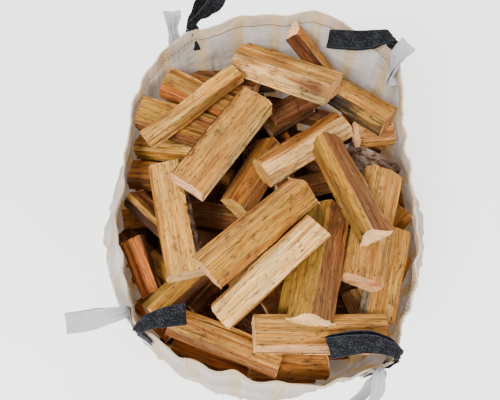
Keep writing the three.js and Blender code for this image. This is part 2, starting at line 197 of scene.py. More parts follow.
def finish_surface(
    tree: bpy.types.NodeTree,
    colour: bpy.types.NodeSocket,
    normal: bpy.types.NodeSocket,
    roughness: float,
    shine: float,
) -> None:
    """Gives a material's surface shader its colour, relief and shine.

    Args:
        tree: The material's node tree.
        colour: The surface's colour.
        normal: Its normal.
        roughness: From 0, mirror-like, to 1, matt.
        shine: How strongly it reflects, where 0.5 is ordinary plastic.
    """
    shader = tree.nodes["Principled BSDF"]
    tree.links.new(colour, shader.inputs["Base Color"])
    tree.links.new(normal, shader.inputs["Normal"])
    shader.inputs["Roughness"].default_value = roughness
    shader.inputs["Specular IOR Level"].default_value = shine


class Waves:
    """A steady smooth noise: a sum of sines in three directions, the same on every run."""

    def __init__(self, seed: int, lengths: Point, count: int = 7) -> None:
        """Draws the waves.

        Args:
            seed: Fixes the draw.
            lengths: Shortest wavelength along x, y and z, in metres.
            count: How many sines are summed.
        """
        draw = np.random.default_rng(seed)
        spread = draw.uniform(0.25, 1.0, (count, 3)) * draw.choice([-1, 1], (count, 3))
        self.turns = 2 * math.pi * spread / np.array(lengths)
        self.phases = draw.uniform(0, 2 * math.pi, count)

    def at(self, points: np.ndarray) -> np.ndarray:
        """Returns about -1 to 1 at each point of an n by 3 array."""
        total = np.sin(points @ self.turns.T + self.phases).sum(axis=1)
        return total / math.sqrt(len(self.phases))


def deselect() -> None:
    """Leaves object mode with nothing selected."""
    if bpy.context.object is not None and bpy.context.object.mode != "OBJECT":
        bpy.ops.object.mode_set(mode="OBJECT")
    bpy.ops.object.select_all(action="DESELECT")


def pick(piece: bpy.types.Object) -> None:
    """Makes a piece the only selected and the active object."""
    deselect()
    piece.select_set(True)
    bpy.context.view_layer.objects.active = piece


def select_where(
    piece: bpy.types.Object, kind: str, test: Callable[[Any, bpy.types.Mesh], bool]
) -> int:
    """Selects the edges or faces of a mesh that pass a test, and stays in edit mode.

    Args:
        piece: The object, which is active.
        kind: "EDGE" or "FACE".
        test: Called with the edge or polygon and the mesh.

    Returns:
        How many are selected.
    """
    bpy.ops.object.mode_set(mode="EDIT")
    bpy.ops.mesh.select_mode(type=kind)
    bpy.ops.mesh.select_all(action="DESELECT")
    bpy.ops.object.mode_set(mode="OBJECT")
    mesh = piece.data
    parts = mesh.edges if kind == "EDGE" else mesh.polygons
    marks = [test(part, mesh) for part in parts]
    parts.foreach_set("select", marks)
    bpy.ops.object.mode_set(mode="EDIT")
    return sum(marks)


def coordinates(mesh: bpy.types.Mesh) -> np.ndarray:
    """Returns the places of a mesh's vertices as an n by 3 array."""
    flat = np.zeros(len(mesh.vertices) * 3)
    mesh.vertices.foreach_get("co", flat)
    return flat.reshape(-1, 3)


def place_vertices(mesh: bpy.types.Mesh, points: np.ndarray) -> None:
    """Moves a mesh's vertices to the rows of an n by 3 array."""
    mesh.vertices.foreach_set("co", points.ravel())
    mesh.update()


def vertex_normals(mesh: bpy.types.Mesh) -> np.ndarray:
    """Returns the normals of a mesh's vertices as an n by 3 array."""
    flat = np.zeros(len(mesh.vertices) * 3)
    mesh.vertex_normals.foreach_get("vector", flat)
    return flat.reshape(-1, 3)


def polygon_normals(mesh: bpy.types.Mesh) -> np.ndarray:
    """Returns the normals of a mesh's polygons as an n by 3 array."""
    flat = np.zeros(len(mesh.polygons) * 3)
    mesh.polygon_normals.foreach_get("vector", flat)
    return flat.reshape(-1, 3)


def corner_points(mesh: bpy.types.Mesh) -> tuple[np.ndarray, np.ndarray]:
    """Reads the corners of a mesh.

    Args:
        mesh: The mesh.

    Returns:
        The vertex number and the polygon number of each corner.
    """
    vertices = np.zeros(len(mesh.loops), int)
    mesh.loops.foreach_get("vertex_index", vertices)
    totals = np.zeros(len(mesh.polygons), int)
    mesh.polygons.foreach_get("loop_total", totals)
    return vertices, np.repeat(np.arange(len(totals)), totals)


def write_attribute(mesh: bpy.types.Mesh, name: str, kind: str, domain: str, rows: np.ndarray) -> None:
    """Stores numbers on a mesh for its material to read.

    Args:
        mesh: The mesh.
        name: The attribute's name.
        kind: "FLOAT_VECTOR", "FLOAT_COLOR" or "FLOAT".
        domain: "POINT" or "CORNER".
        rows: One row for each point or corner.
    """
    attribute = mesh.attributes.get(name) or mesh.attributes.new(name, kind, domain)
    key = {"FLOAT_VECTOR": "vector", "FLOAT_COLOR": "color", "FLOAT": "value"}[kind]
    attribute.data.foreach_set(key, np.ascontiguousarray(rows, dtype=np.float32).ravel())


def drop_uv_layers(mesh: bpy.types.Mesh) -> None:
    """Removes every UV layer of a mesh."""
    for layer in list(mesh.uv_layers):
        mesh.uv_layers.remove(layer)


def copy_node(node: str, name: str) -> bpy.types.Object:
    """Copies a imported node's mesh into a new piece and joins its loose triangles.

    Args:
        node: The node's name.
        name: The new piece's name.

    Returns:
        The new piece, active, in object mode.
    """
    mesh = bpy.data.objects[node].data.copy()
    mesh.materials.clear()
    piece = bpy.data.objects.new(name, mesh)
    bpy.context.scene.collection.objects.link(piece)
    pick(piece)
    bpy.ops.object.mode_set(mode="EDIT")
    bpy.ops.mesh.select_all(action="SELECT")
    bpy.ops.mesh.remove_doubles(threshold=0.05 * MM)
    bpy.ops.mesh.dissolve_limited(angle_limit=math.radians(0.2))
    bpy.ops.object.mode_set(mode="OBJECT")
    drop_uv_layers(mesh)
    for attribute in [a for a in mesh.attributes if a.name == "custom_normal"]:
        mesh.attributes.remove(attribute)
    return piece


def copy_piece(mould: bpy.types.Object) -> bpy.types.Object:
    """Copies a piece.

    Args:
        mould: The piece.

    Returns:
        The copy, with a mesh of its own.
    """
    piece = mould.copy()
    piece.data = mould.data.copy()
    bpy.context.scene.collection.objects.link(piece)
    return piece


def join_pieces(pieces: Sequence[bpy.types.Object], name: str) -> bpy.types.Object:
    """Joins pieces into the first of them.

    Args:
        pieces: The pieces, at least one.
        name: The joined piece's name.

    Returns:
        The joined piece, active.
    """
    pick(pieces[0])
    for piece in pieces:
        piece.select_set(True)
    bpy.ops.object.join()
    joined = bpy.context.object
    joined.name = name
    return joined


def apply_modifier(piece: bpy.types.Object, kind: str, **settings: Any) -> None:
    """Adds one modifier and applies it.

    Args:
        piece: The piece.
        kind: The modifier's type.
        **settings: The modifier's own settings.
    """
    pick(piece)
    modifier = piece.modifiers.new(kind.lower(), kind)
    for name, setting in settings.items():
        setattr(modifier, name, setting)
    bpy.ops.object.modifier_apply(modifier=modifier.name)


@dataclass(frozen=True)
class BeechFace:
    """Beech split along its grain and air dried: long fibres, brown streaks and fine open cracks.

    It gives the eye matt straw-coloured faces with strong lengthwise stripes, painted shade in the cracks and
    painted highlights on torn fibres.
    """

    name: str = "beech_split_face"
    fibre_mm: float = 3.6
    band_mm: float = 26.0
    crack_mm: float = 8.0
    hair_mm: float = 1.4
    nick_mm: float = 3.0
    relief: float = 2.4 * MM
    roughness: float = 0.72
    shine: float = 0.3

    def make(self) -> bpy.types.Material:
        """Builds the material from the grain and tone attributes.

        Returns:
            The material.
        """
        material, tree, _ = new_material(self.name)
        grain = add_node(tree, "Attribute", attribute_name="grain").outputs["Vector"]
        tone = add_node(tree, "Attribute", attribute_name="tone").outputs["Color"]
        patterns = []
        for along, across_mm, look in (
            (7.0, self.fibre_mm, {"Detail": 5.0, "Roughness": 0.72, "Distortion": 0.35}),
            (3.5, self.band_mm, {"Detail": 3.0, "Roughness": 0.55, "Distortion": 0.7}),
            (5.0, self.crack_mm, {"Detail": 1.5, "Distortion": 0.9}),
            (16.0, self.hair_mm, {"Detail": 2.0, "Roughness": 0.65}),
            (55.0, self.nick_mm, {"Detail": 1.0}),
        ):
            across = 1000 / across_mm
            place = add_node(tree, "Mapping", {"Scale": (along, across, across)}, {"Vector": grain})
            pattern = add_node(
                tree, "TexNoise", {"Scale": 1.0, **look}, {"Vector": place.outputs["Vector"]}
            )
            patterns.append(pattern.outputs["Fac"])
        fibre, band, crack, hair, nick = patterns
        blotch = add_node(
            tree, "TexNoise", {"Scale": 24.0, "Detail": 5.0, "Roughness": 0.7}, {"Vector": grain}
        ).outputs["Fac"]
        washes = ((0.3, "#A88252"), (0.43, "#E6D2A8"), (0.52, "#FFFFFF"), (0.68, "#F4E4A4"))
        streaks = ((0.3, "#6E5230"), (0.38, "#C6AE84"), (0.5, "#FFFFFF"), (0.8, "#FFFFFF"))
        hairs = ((0.3, "#9C835C"), (0.5, "#FFFFFF"))
        grime = ((0.3, "#6E5C46"), (0.44, "#FFFFFF"))
        colour = darken(tree, tone, (
            (band, 0.95, washes), (fibre, 0.8, streaks), (hair, 0.7, hairs), (blotch, 0.85, grime),
        ))
        # Pale torn fibres: partly the paler colour of fresh fibres, partly painted highlight on the ridges.
        torn = add_node(
            tree, "MapRange", {"From Min": 0.58, "From Max": 0.72, "To Max": 0.4}, {"Value": fibre}
        )
        pale = add_node(
            tree, "Mix", {7: linear("#F0D29A")}, {0: torn.outputs["Result"], 6: colour}, data_type="RGBA"
        )
        middle = add_node(tree, "Math", {1: 0.5}, {0: crack}, operation="SUBTRACT")
        away = add_node(tree, "Math", links={0: middle.outputs[0]}, operation="ABSOLUTE")
        line = add_node(
            tree, "MapRange", {"From Min": 0.0, "From Max": 0.02, "To Min": 1.0, "To Max": 0.0},
            {"Value": away.outputs[0]},
        )
        where = add_node(
            tree, "MapRange", {"From Min": 0.5, "From Max": 0.58, "To Min": 0.0, "To Max": 0.95},
            {"Value": band},
        )
        open_cracks = add_node(
            tree, "Math", links={0: line.outputs["Result"], 1: where.outputs["Result"]},
            operation="MULTIPLY",
        )
        nicks = add_node(
            tree, "MapRange", {"From Min": 0.66, "From Max": 0.7, "To Max": 0.9}, {"Value": nick}
        )
        crack_shade = add_node(
            tree, "Math", links={0: open_cracks.outputs[0], 1: nicks.outputs["Result"]},
            operation="MAXIMUM",
        ).outputs[0]
        # Painted shade: the open cracks and nicks are darkened almost to black, as shade inside them.
        dark = add_node(
            tree, "Mix", {7: linear("#24160A")}, {0: crack_shade, 6: pale.outputs[2]}, data_type="RGBA"
        )
        raised = add_node(tree, "Math", {1: 0.55}, {0: fibre, 2: hair}, operation="MULTIPLY_ADD")
        sunk = add_node(tree, "Math", links={0: raised.outputs[0], 1: crack_shade}, operation="SUBTRACT")
        bump = add_node(
            tree, "Bump", {"Strength": 0.9, "Distance": self.relief}, {"Height": sunk.outputs[0]}
        )
        finish_surface(tree, dark.outputs[2], bump.outputs["Normal"], self.roughness, self.shine)
        return material


@dataclass(frozen=True)
class BeechEnd:
    """Beech sawn across its grain: year rings round the heart, short checks and saw marks.

    It gives the eye pale peach ends, flatter and brighter than the split faces.
    """

    name: str = "beech_sawn_end"
    ring_mm: float = 6.5  # real rings are about 2 mm apart, too fine to show
    saw_mm: float = 5.0  # one ridge or one furrow, to within 0.1 mm
    relief: float = 0.8 * MM
    roughness: float = 0.8
    shine: float = 0.25

    def make(self) -> bpy.types.Material:
        """Builds the material from the grain and tone attributes.

        Returns:
            The material.
        """
        material, tree, _ = new_material(self.name)
        grain = add_node(tree, "Attribute", attribute_name="grain").outputs["Vector"]
        tone = add_node(tree, "Attribute", attribute_name="tone").outputs["Color"]
        flat = add_node(tree, "Mapping", {"Scale": (0.0, 1.0, 1.0)}, {"Vector": grain}).outputs["Vector"]
        wobble = add_node(tree, "TexNoise", {"Scale": 40.0, "Detail": 3.0}, {"Vector": grain}).outputs["Fac"]
        radius = add_node(tree, "VectorMath", links={0: flat}, operation="LENGTH").outputs["Value"]
        bent = add_node(tree, "Math", {1: 4 * MM}, {0: wobble, 2: radius}, operation="MULTIPLY_ADD")
        phase = add_node(
            tree, "Math", {1: 2 * math.pi * 1000 / self.ring_mm}, {0: bent.outputs[0]},
            operation="MULTIPLY",
        )
        ring = add_node(tree, "Math", links={0: phase.outputs[0]}, operation="SINE").outputs[0]
        rings = add_node(
            tree, "MapRange", {"From Min": -1.0, "From Max": 1.0}, {"Value": ring}
        ).outputs["Result"]
        split = add_node(tree, "SeparateXYZ", links={"Vector": flat})
        angle = add_node(
            tree, "Math", links={0: split.outputs["Z"], 1: split.outputs["Y"]}, operation="ARCTAN2"
        )
        around = add_node(tree, "CombineXYZ", links={"X": angle.outputs[0]})
        checks = add_node(
            tree, "TexNoise", {"Scale": 9.0, "Detail": 1.0}, {"Vector": around.outputs["Vector"]}
        ).outputs["Fac"]
        middle = add_node(tree, "Math", {1: 0.5}, {0: checks}, operation="SUBTRACT")
        away = add_node(tree, "Math", links={0: middle.outputs[0]}, operation="ABSOLUTE")
        line = add_node(
            tree, "MapRange", {"From Min": 0.0, "From Max": 0.02, "To Min": 0.55, "To Max": 0.0},
            {"Value": away.outputs[0]},
        ).outputs["Result"]
        fluff = add_node(
            tree, "TexNoise", {"Scale": 150.0, "Detail": 4.0, "Roughness": 0.7}, {"Vector": grain}
        ).outputs["Fac"]
        stain = add_node(
            tree, "TexNoise", {"Scale": 22.0, "Detail": 3.0}, {"Vector": grain}
        ).outputs["Fac"]
        colour = darken(tree, tone, (
            (rings, 0.7, ((0.0, "#E8D2B4"), (0.45, "#FFFFFF"))),
            (fluff, 0.7, ((0.3, "#D0B896"), (0.5, "#FFFFFF"))),
            (stain, 0.8, ((0.32, "#CBA47A"), (0.46, "#FFFFFF"))),
        ))
        # Painted shade: the short checks are darkened as shade inside them.
        dark = add_node(tree, "Mix", {7: linear("#4A2A14")}, {0: line, 6: colour}, data_type="RGBA")
        marks = add_node(
            tree, "TexWave",
            {"Scale": 1000 / self.saw_mm / RIDGES_IN_UNIT, "Distortion": 2.0, "Detail": 1.0},
            {"Vector": flat}, bands_direction="Y",
        ).outputs["Fac"]
        relief = add_node(tree, "Math", {1: 0.4}, {0: marks, 2: fluff}, operation="MULTIPLY_ADD")
        bump = add_node(
            tree, "Bump", {"Strength": 0.5, "Distance": self.relief}, {"Height": relief.outputs[0]}
        )
        finish_surface(tree, dark.outputs[2], bump.outputs["Normal"], self.roughness, self.shine)
        return material


@dataclass(frozen=True)
class BeechBark:
    """Dry beech bark that flakes: thin grey-brown plates over a red-brown inner layer.

    It gives the eye dark ragged strips along one side of a log.
    """

    name: str = "beech_bark"
    plate_mm: float = 14.0
    relief: float = 3 * MM
    roughness: float = 0.9
    shine: float = 0.2

    def make(self) -> bpy.types.Material:
        """Builds the material from the grain and tone attributes.

        Returns:
            The material.
        """
        material, tree, _ = new_material(self.name)
        grain = add_node(tree, "Attribute", attribute_name="grain").outputs["Vector"]
        tone = add_node(tree, "Attribute", attribute_name="tone").outputs["Color"]
        across = 1000 / self.plate_mm
        long = add_node(tree, "Mapping", {"Scale": (34.0, across, across)}, {"Vector": grain})
        plates = add_node(
            tree, "TexNoise", {"Scale": 1.0, "Detail": 6.0, "Roughness": 0.68, "Distortion": 0.8},
            {"Vector": long.outputs["Vector"]},
        ).outputs["Fac"]
        specks = add_node(tree, "TexNoise", {"Scale": 260.0, "Detail": 3.0}, {"Vector": grain}).outputs["Fac"]
        crust = ((0.34, "#3A2318"), (0.46, "#94745F"), (0.55, "#C4B2A4"), (0.7, "#ECE2D8"))
        speckle = ((0.35, "#8C8078"), (0.6, "#FFFFFF"))
        colour = darken(tree, tone, ((plates, 1.0, crust), (specks, 0.6, speckle)))
        relief = add_node(tree, "Math", {1: 0.3}, {0: specks, 2: plates}, operation="MULTIPLY_ADD")
        bump = add_node(
            tree, "Bump", {"Strength": 0.9, "Distance": self.relief}, {"Height": relief.outputs[0]}
        )
        finish_surface(tree, colour, bump.outputs["Normal"], self.roughness, self.shine)
        return material


@dataclass(frozen=True)
class WovenTape:
    """Flat polypropylene tape woven into an open cloth with denser upright bands.

    It gives the eye a cream-white cloth that lets light and the shade of the logs through a little.
    """

    name: str = "woven_polypropylene"
    tape_mm: float = 5.0  # real tape is 2.5 mm wide, too fine to show
    band_mm: float = 118.0
    band_share: float = 0.3
    hem_mm: float = 41.0
    relief: float = 0.8 * MM
    wrinkle: float = 22 * MM
    see_through: float = 0.42
    roughness: float = 0.62
    shine: float = 0.35

    def make(self) -> bpy.types.Material:
        """Builds the material from the cloth attribute and from an attribute that carries the painted shade
        of the logs behind the cloth.

        Returns:
            The material.
        """
        material, tree, shader = new_material(self.name)
        cloth = add_node(tree, "Attribute", attribute_name="cloth").outputs["Vector"]
        stain = add_node(tree, "Attribute", attribute_name="stain").outputs["Fac"]
        axes = add_node(tree, "SeparateXYZ", links={"Vector": cloth})
        waves = []
        for axis, length_mm, operation in (
            ("X", 2 * self.tape_mm, "SINE"), ("Y", 2 * self.tape_mm, "SINE"), ("X", self.band_mm, "COSINE"),
        ):
            turn = add_node(
                tree, "Math", {1: 2 * math.pi * 1000 / length_mm}, {0: axes.outputs[axis]},
                operation="MULTIPLY",
            )
            wave = add_node(tree, "Math", links={0: turn.outputs[0]}, operation=operation)
            waves.append(wave.outputs[0])
        crossing = add_node(
            tree, "Math", links={0: waves[0], 1: waves[1]}, operation="MULTIPLY"
        ).outputs[0]
        edge = math.cos(math.pi * self.band_share)
        band = add_node(
            tree, "MapRange", {"From Min": edge - 0.05, "From Max": edge + 0.05}, {"Value": waves[2]}
        ).outputs["Result"]
        threads = add_node(
            tree, "Mapping", {"Scale": (170.0, 5.0, 5.0)}, {"Vector": cloth}
        ).outputs["Vector"]
        streak = add_node(tree, "TexNoise", {"Scale": 1.0, "Detail": 3.0}, {"Vector": threads}).outputs["Fac"]
        cloud = add_node(tree, "TexNoise", {"Scale": 7.0, "Detail": 4.0}, {"Vector": cloth}).outputs["Fac"]
        ground = add_node(
            tree, "Mix", {6: linear("#DFDAD8"), 7: linear("#E2D2B4")}, {0: band}, data_type="RGBA"
        )
        below = axes.outputs["Z"]
        hem = add_node(
            tree, "MapRange",
            {"From Min": (self.hem_mm - 1) * MM, "From Max": self.hem_mm * MM, "To Min": 0.55, "To Max": 0.0},
            {"Value": below},
        ).outputs["Result"]
        doubled = add_node(
            tree, "Mix", {7: linear("#D8BC8E")}, {0: hem, 6: ground.outputs[2]}, data_type="RGBA"
        )
        past = add_node(tree, "Math", {1: self.hem_mm * MM}, {0: below}, operation="SUBTRACT").outputs[0]
        apart = add_node(tree, "Math", links={0: past}, operation="ABSOLUTE").outputs[0]
        # Painted shade: a dark line along the lower edge of the hem, where the doubled cloth ends.
        fold = add_node(
            tree, "MapRange", {"From Min": 1.2 * MM, "From Max": 3.2 * MM, "To Min": 0.95, "To Max": 0.0},
            {"Value": apart},
        ).outputs["Result"]
        edged = add_node(
            tree, "Mix", {7: linear("#8E6C3E")}, {0: fold, 6: doubled.outputs[2]}, data_type="RGBA"
        )
        colour = darken(tree, edged.outputs[2], (
            (streak, 0.4, ((0.3, "#DAD4CA"), (0.55, "#FFFFFF"))),
            (cloud, 0.6, ((0.34, "#DDD3C2"), (0.55, "#FFFFFF"))),
        ))
        # Painted shade: the cloth is browned where logs lie behind it.
        tinted = add_node(
            tree, "Mix", {7: linear("#B08E66")}, {0: stain, 6: colour}, data_type="RGBA"
        ).outputs[2]
        relief = add_node(tree, "Math", {1: 0.5}, {0: crossing, 2: streak}, operation="MULTIPLY_ADD")
        crumple = add_node(
            tree, "TexNoise", {"Scale": 7.0, "Detail": 4.0, "Roughness": 0.6, "Distortion": 0.8},
            {"Vector": cloth},
        ).outputs["Fac"]
        off = add_node(tree, "Math", {1: 0.5}, {0: crumple}, operation="SUBTRACT")
        ridge = add_node(tree, "Math", links={0: off.outputs[0]}, operation="ABSOLUTE")
        wrinkled = add_node(
            tree, "Bump", {"Strength": 0.5, "Distance": self.wrinkle}, {"Height": ridge.outputs[0]}
        )
        normal = add_node(
            tree, "Bump", {"Strength": 0.35, "Distance": self.relief},
            {"Height": relief.outputs[0], "Normal": wrinkled.outputs["Normal"]},
        ).outputs["Normal"]
        finish_surface(tree, tinted, normal, self.roughness, self.shine)
        glow = add_node(tree, "BsdfTranslucent", links={"Color": tinted, "Normal": normal})
        both = add_node(
            tree, "MixShader", {0: self.see_through}, {1: shader.outputs[0], 2: glow.outputs[0]}
        )
        tree.links.new(both.outputs[0], tree.nodes["Material Output"].inputs["Surface"])
        return material


@dataclass(frozen=True)
class Webbing:
    """Flat polypropylene lifting webbing in a herringbone weave.

    It gives the eye a matt ribbed band with slightly worn, lighter edges.
    """

    name: str
    ground: str
    fleck: str
    rib_mm: float = 3.2
    herringbone: float = 12.5 * MM
    relief: float = 0.7 * MM
    roughness: float = 0.85
    shine: float = 0.12

    def make(self) -> bpy.types.Material:
        """Builds the material from the band attribute: along and across the webbing, in metres.

        Returns:
            The material.
        """
        material, tree, _ = new_material(self.name)
        band = add_node(tree, "Attribute", attribute_name="band").outputs["Vector"]
        axes = add_node(tree, "SeparateXYZ", links={"Vector": band})
        fold = add_node(
            tree, "Math", {1: self.herringbone}, {0: axes.outputs["Y"]}, operation="PINGPONG"
        ).outputs[0]
        slant = add_node(tree, "Math", {1: 0.8}, {0: fold, 2: axes.outputs["X"]}, operation="MULTIPLY_ADD")
        turn = add_node(
            tree, "Math", {1: 2 * math.pi * 1000 / self.rib_mm}, {0: slant.outputs[0]},
            operation="MULTIPLY",
        )
        rib = add_node(tree, "Math", links={0: turn.outputs[0]}, operation="SINE").outputs[0]
        noise = add_node(
            tree, "TexNoise", {"Scale": 300.0, "Detail": 3.0, "Roughness": 0.75}, {"Vector": band}
        ).outputs["Fac"]
        wear = add_node(tree, "TexNoise", {"Scale": 45.0, "Detail": 4.0}, {"Vector": band}).outputs["Fac"]
        side = add_node(tree, "Math", links={0: axes.outputs["Y"]}, operation="ABSOLUTE").outputs[0]
        pale = []
        for pattern, low, high, most in (
            (noise, 0.56, 0.66, 0.5), (side, 23 * MM, 25 * MM, 0.2), (wear, 0.5, 0.7, 0.08),
        ):
            shown = add_node(
                tree, "MapRange", {"From Min": low, "From Max": high, "To Max": most}, {"Value": pattern}
            )
            pale.append(shown.outputs["Result"])
        share = pale[0]
        for more in pale[1:]:
            share = add_node(tree, "Math", links={0: share, 1: more}, operation="MAXIMUM").outputs[0]
        colour = add_node(
            tree, "Mix", {6: linear(self.ground), 7: linear(self.fleck)}, {0: share}, data_type="RGBA"
        )
        relief = add_node(tree, "Math", {1: 0.4}, {0: rib, 2: noise}, operation="MULTIPLY_ADD")
        bump = add_node(
            tree, "Bump", {"Strength": 0.6, "Distance": self.relief}, {"Height": relief.outputs[0]}
        )
        finish_surface(tree, colour.outputs[2], bump.outputs["Normal"], self.roughness, self.shine)
        return material


@dataclass(frozen=True)
class Thread:
    """Spun sewing thread. It gives the eye thin, soft, almost white lines."""

    name: str = "sewing_thread"
    colour: str = "#EDE8DD"
    relief: float = 0.3 * MM
    roughness: float = 0.85
    shine: float = 0.5

    def make(self) -> bpy.types.Material:
        """Builds the material from object coordinates.

        Returns:
            The material.
        """
        material, tree, _ = new_material(self.name)
        place = add_node(tree, "TexCoord").outputs["Object"]
        twist = add_node(tree, "TexNoise", {"Scale": 700.0, "Detail": 2.0}, {"Vector": place}).outputs["Fac"]
        shade = add_node(
            tree, "Mix", {6: linear("#BDB5A6"), 7: linear(self.colour)}, {0: twist}, data_type="RGBA"
        )
        bump = add_node(tree, "Bump", {"Strength": 0.4, "Distance": self.relief}, {"Height": twist})
        finish_surface(tree, shade.outputs[2], bump.outputs["Normal"], self.roughness, self.shine)
        return material


class Flank(Enum):
    """A side of a lying log: away from the front of the bag, on top, or towards the front."""

    FAR = -1
    UP = 0
    NEAR = 1


@dataclass(frozen=True)
class Mark:
    """A knot, a stained or pale patch, or a patch of painted shadow or painted light on a log.

    It is placed by its share of the half length and by its degrees round from straight up, positive
    towards the near side, and reaches so many millimetres along and across the grain.
    """

    along: float
    turned: float
    reach: tuple[float, float]
    tone: Tone
    strength: float = 0.85


@dataclass(frozen=True)
class SplitLog:
    """One split log: the tones of its faces, its bark and its marks.

    The bark laps over the edge of the upper face by so many millimetres at either end of the log.
    """

    node: str
    far: Tone
    up: Tone
    near: Tone
    end: Tone = Tone.BLUSH
    bark: Optional[Flank] = None
    turns: tuple[float, float] = (-38.0, 38.0)
    marks: tuple[Mark, ...] = ()
    bark_over: tuple[float, float] = (0.0, 0.0)

    def seed(self) -> int:
        """Returns a fixed number for this log's irregularities."""
        return sum((i + 3) * ord(c) for i, c in enumerate(self.node))

    def frame(self, mesh: bpy.types.Mesh) -> Matrix:
        """Finds how the log lies.

        Args:
            mesh: The log's plain mesh, in place.

        Returns:
            The matrix from the log's own axes (x along it, y to its near side, z up) to its place.
        """
        points = coordinates(mesh)
        ends = np.array([edge.vertices[:] for edge in mesh.edges])
        ways = points[ends[:, 1]] - points[ends[:, 0]]
        ways /= np.linalg.norm(ways, axis=1)[:, None]
        alike = (np.abs(ways @ ways.T) > 0.9998).sum(axis=1)
        along = Vector(ways[int(np.argmax(alike))])
        up = (Vector((0, 0, 1)) - along * along.z).normalized()
        if up.cross(along).dot(Vector((0.6, -0.8, 0))) < 0:
            along = -along
        side = up.cross(along)
        turn = Matrix((along, side, up)).transposed()
        own = points @ np.array(turn)
        middle = turn @ Vector((own.max(axis=0) + own.min(axis=0)) / 2)
        return Matrix.Translation(middle) @ turn.to_4x4()

    def refine(self, piece: bpy.types.Object, ring: float, across: float) -> None:
        """Bevels the long edges and cuts the faces finely enough to roughen.

        Args:
            piece: The log, lying along x at the origin.
            ring: Distance between cuts along the log, in metres.
            across: Longest edge across the log, in metres.
        """
        def lengthwise(edge: bpy.types.MeshEdge, mesh: bpy.types.Mesh) -> bool:
            """Tells whether an edge runs along the log."""
            a, b = (mesh.vertices[v].co for v in edge.vertices)
            return abs(a.x - b.x) > 0.9 * (a - b).length

        def wide(edge: bpy.types.MeshEdge, mesh: bpy.types.Mesh) -> bool:
            """Tells whether an edge runs across the log and is still too long."""
            a, b = (mesh.vertices[v].co for v in edge.vertices)
            return abs(a.x - b.x) < 0.5 * (a - b).length and (a - b).length > across

        def sawn(face: bpy.types.MeshPolygon, mesh: bpy.types.Mesh) -> bool:
            """Tells whether a face is one of the sawn ends."""
            return abs(face.normal.x) > SAWN_FACING

        select_where(piece, "EDGE", lengthwise)
        bpy.ops.mesh.bevel(offset=1.2 * MM, segments=1, clamp_overlap=True)
        length = piece.dimensions.x
        select_where(piece, "EDGE", lengthwise)
        bpy.ops.mesh.subdivide(number_cuts=max(3, round(length / ring)))
        while select_where(piece, "EDGE", wide):
            bpy.ops.mesh.subdivide(number_cuts=1)
        select_where(piece, "FACE", sawn)
        for depth in (2.5 * MM, 7 * MM):
            bpy.ops.mesh.inset(thickness=depth, use_even_offset=False)
        bpy.ops.mesh.poke()
        bpy.ops.object.mode_set(mode="OBJECT")

    def paint(self, mesh: bpy.types.Mesh) -> None:
        """Gives every face its tone, finish and grain, before the faces are roughened.

        Args:
            mesh: The refined mesh, lying along x at the origin.
        """
        points = coordinates(mesh)
        normals = polygon_normals(mesh)
        sawn = np.abs(normals[:, 0]) > SAWN_FACING
        turned = np.degrees(np.arctan2(normals[:, 1], normals[:, 2]))
        flank = np.where(turned < self.turns[0], -1, np.where(turned > self.turns[1], 1, 0))
        table = {-1: self.far, 0: self.up, 1: self.near}
        tones = np.array([linear(table[int(f)].value) for f in flank])
        tones[sawn] = linear(self.end.value)
        vertices, polygons = corner_points(mesh)
        colours = tones[polygons]
        place = points[vertices]
        half = np.abs(points[:, 0]).max()
        # Marks include painted shadows and painted lit patches as well as marks of the wood.
        for mark in self.marks:
            angle = math.radians(mark.turned)
            way = np.array([0.0, math.sin(angle), math.cos(angle)])
            across = np.array([0.0, math.cos(angle), -math.sin(angle)])
            facing = normals[polygons] @ way > 0.55
            along = (place[:, 0] - mark.along * half) / (mark.reach[0] * MM)
            aside = (place @ across) / (mark.reach[1] * MM)
            share = mark.strength * np.exp(-(along**2 + aside**2)) * facing
            colours = colours + (np.array(linear(mark.tone.value)) - colours) * share[:, None]
        seed = self.seed()
        light = 1 + 0.13 * Waves(seed + 1, (0.16, 0.05, 0.05)).at(place)
        warm = 0.06 * Waves(seed + 2, (0.22, 0.07, 0.07)).at(place)
        colours[:, :3] *= light[:, None] * np.stack([1 + warm, np.ones_like(warm), 1 - warm], axis=1)
        write_attribute(mesh, "tone", "FLOAT_COLOR", "CORNER", np.clip(colours, 0.004, 1))
        draw = np.random.default_rng(seed)
        heart = draw.uniform(0.02, 0.06) * np.array([draw.choice([-1, 1]), -0.8])
        grain = points + np.array([draw.uniform(1, 9), heart[0], heart[1]])
        write_attribute(mesh, "grain", "FLOAT_VECTOR", "POINT", grain)
        barked = (flank == self.bark.value) & ~sawn if self.bark else np.zeros(len(sawn), bool)
        if any(self.bark_over):
            middles = np.zeros(len(sawn) * 3)
            mesh.polygons.foreach_get("center", middles)
            middles = middles.reshape(-1, 3)
            lap = np.interp(middles[:, 0], (-half, half), self.bark_over) * MM
            lap *= 1 + 0.5 * Waves(seed + 11, (0.05, 0.5, 0.5)).at(middles)
            edge = (points[:, 1] * self.bark.value).max() - lap
            barked |= (middles[:, 1] * self.bark.value > edge) & (flank == 0) & ~sawn
        mesh.polygons.foreach_set("material_index", np.where(sawn, 1, np.where(barked, 2, 0)))

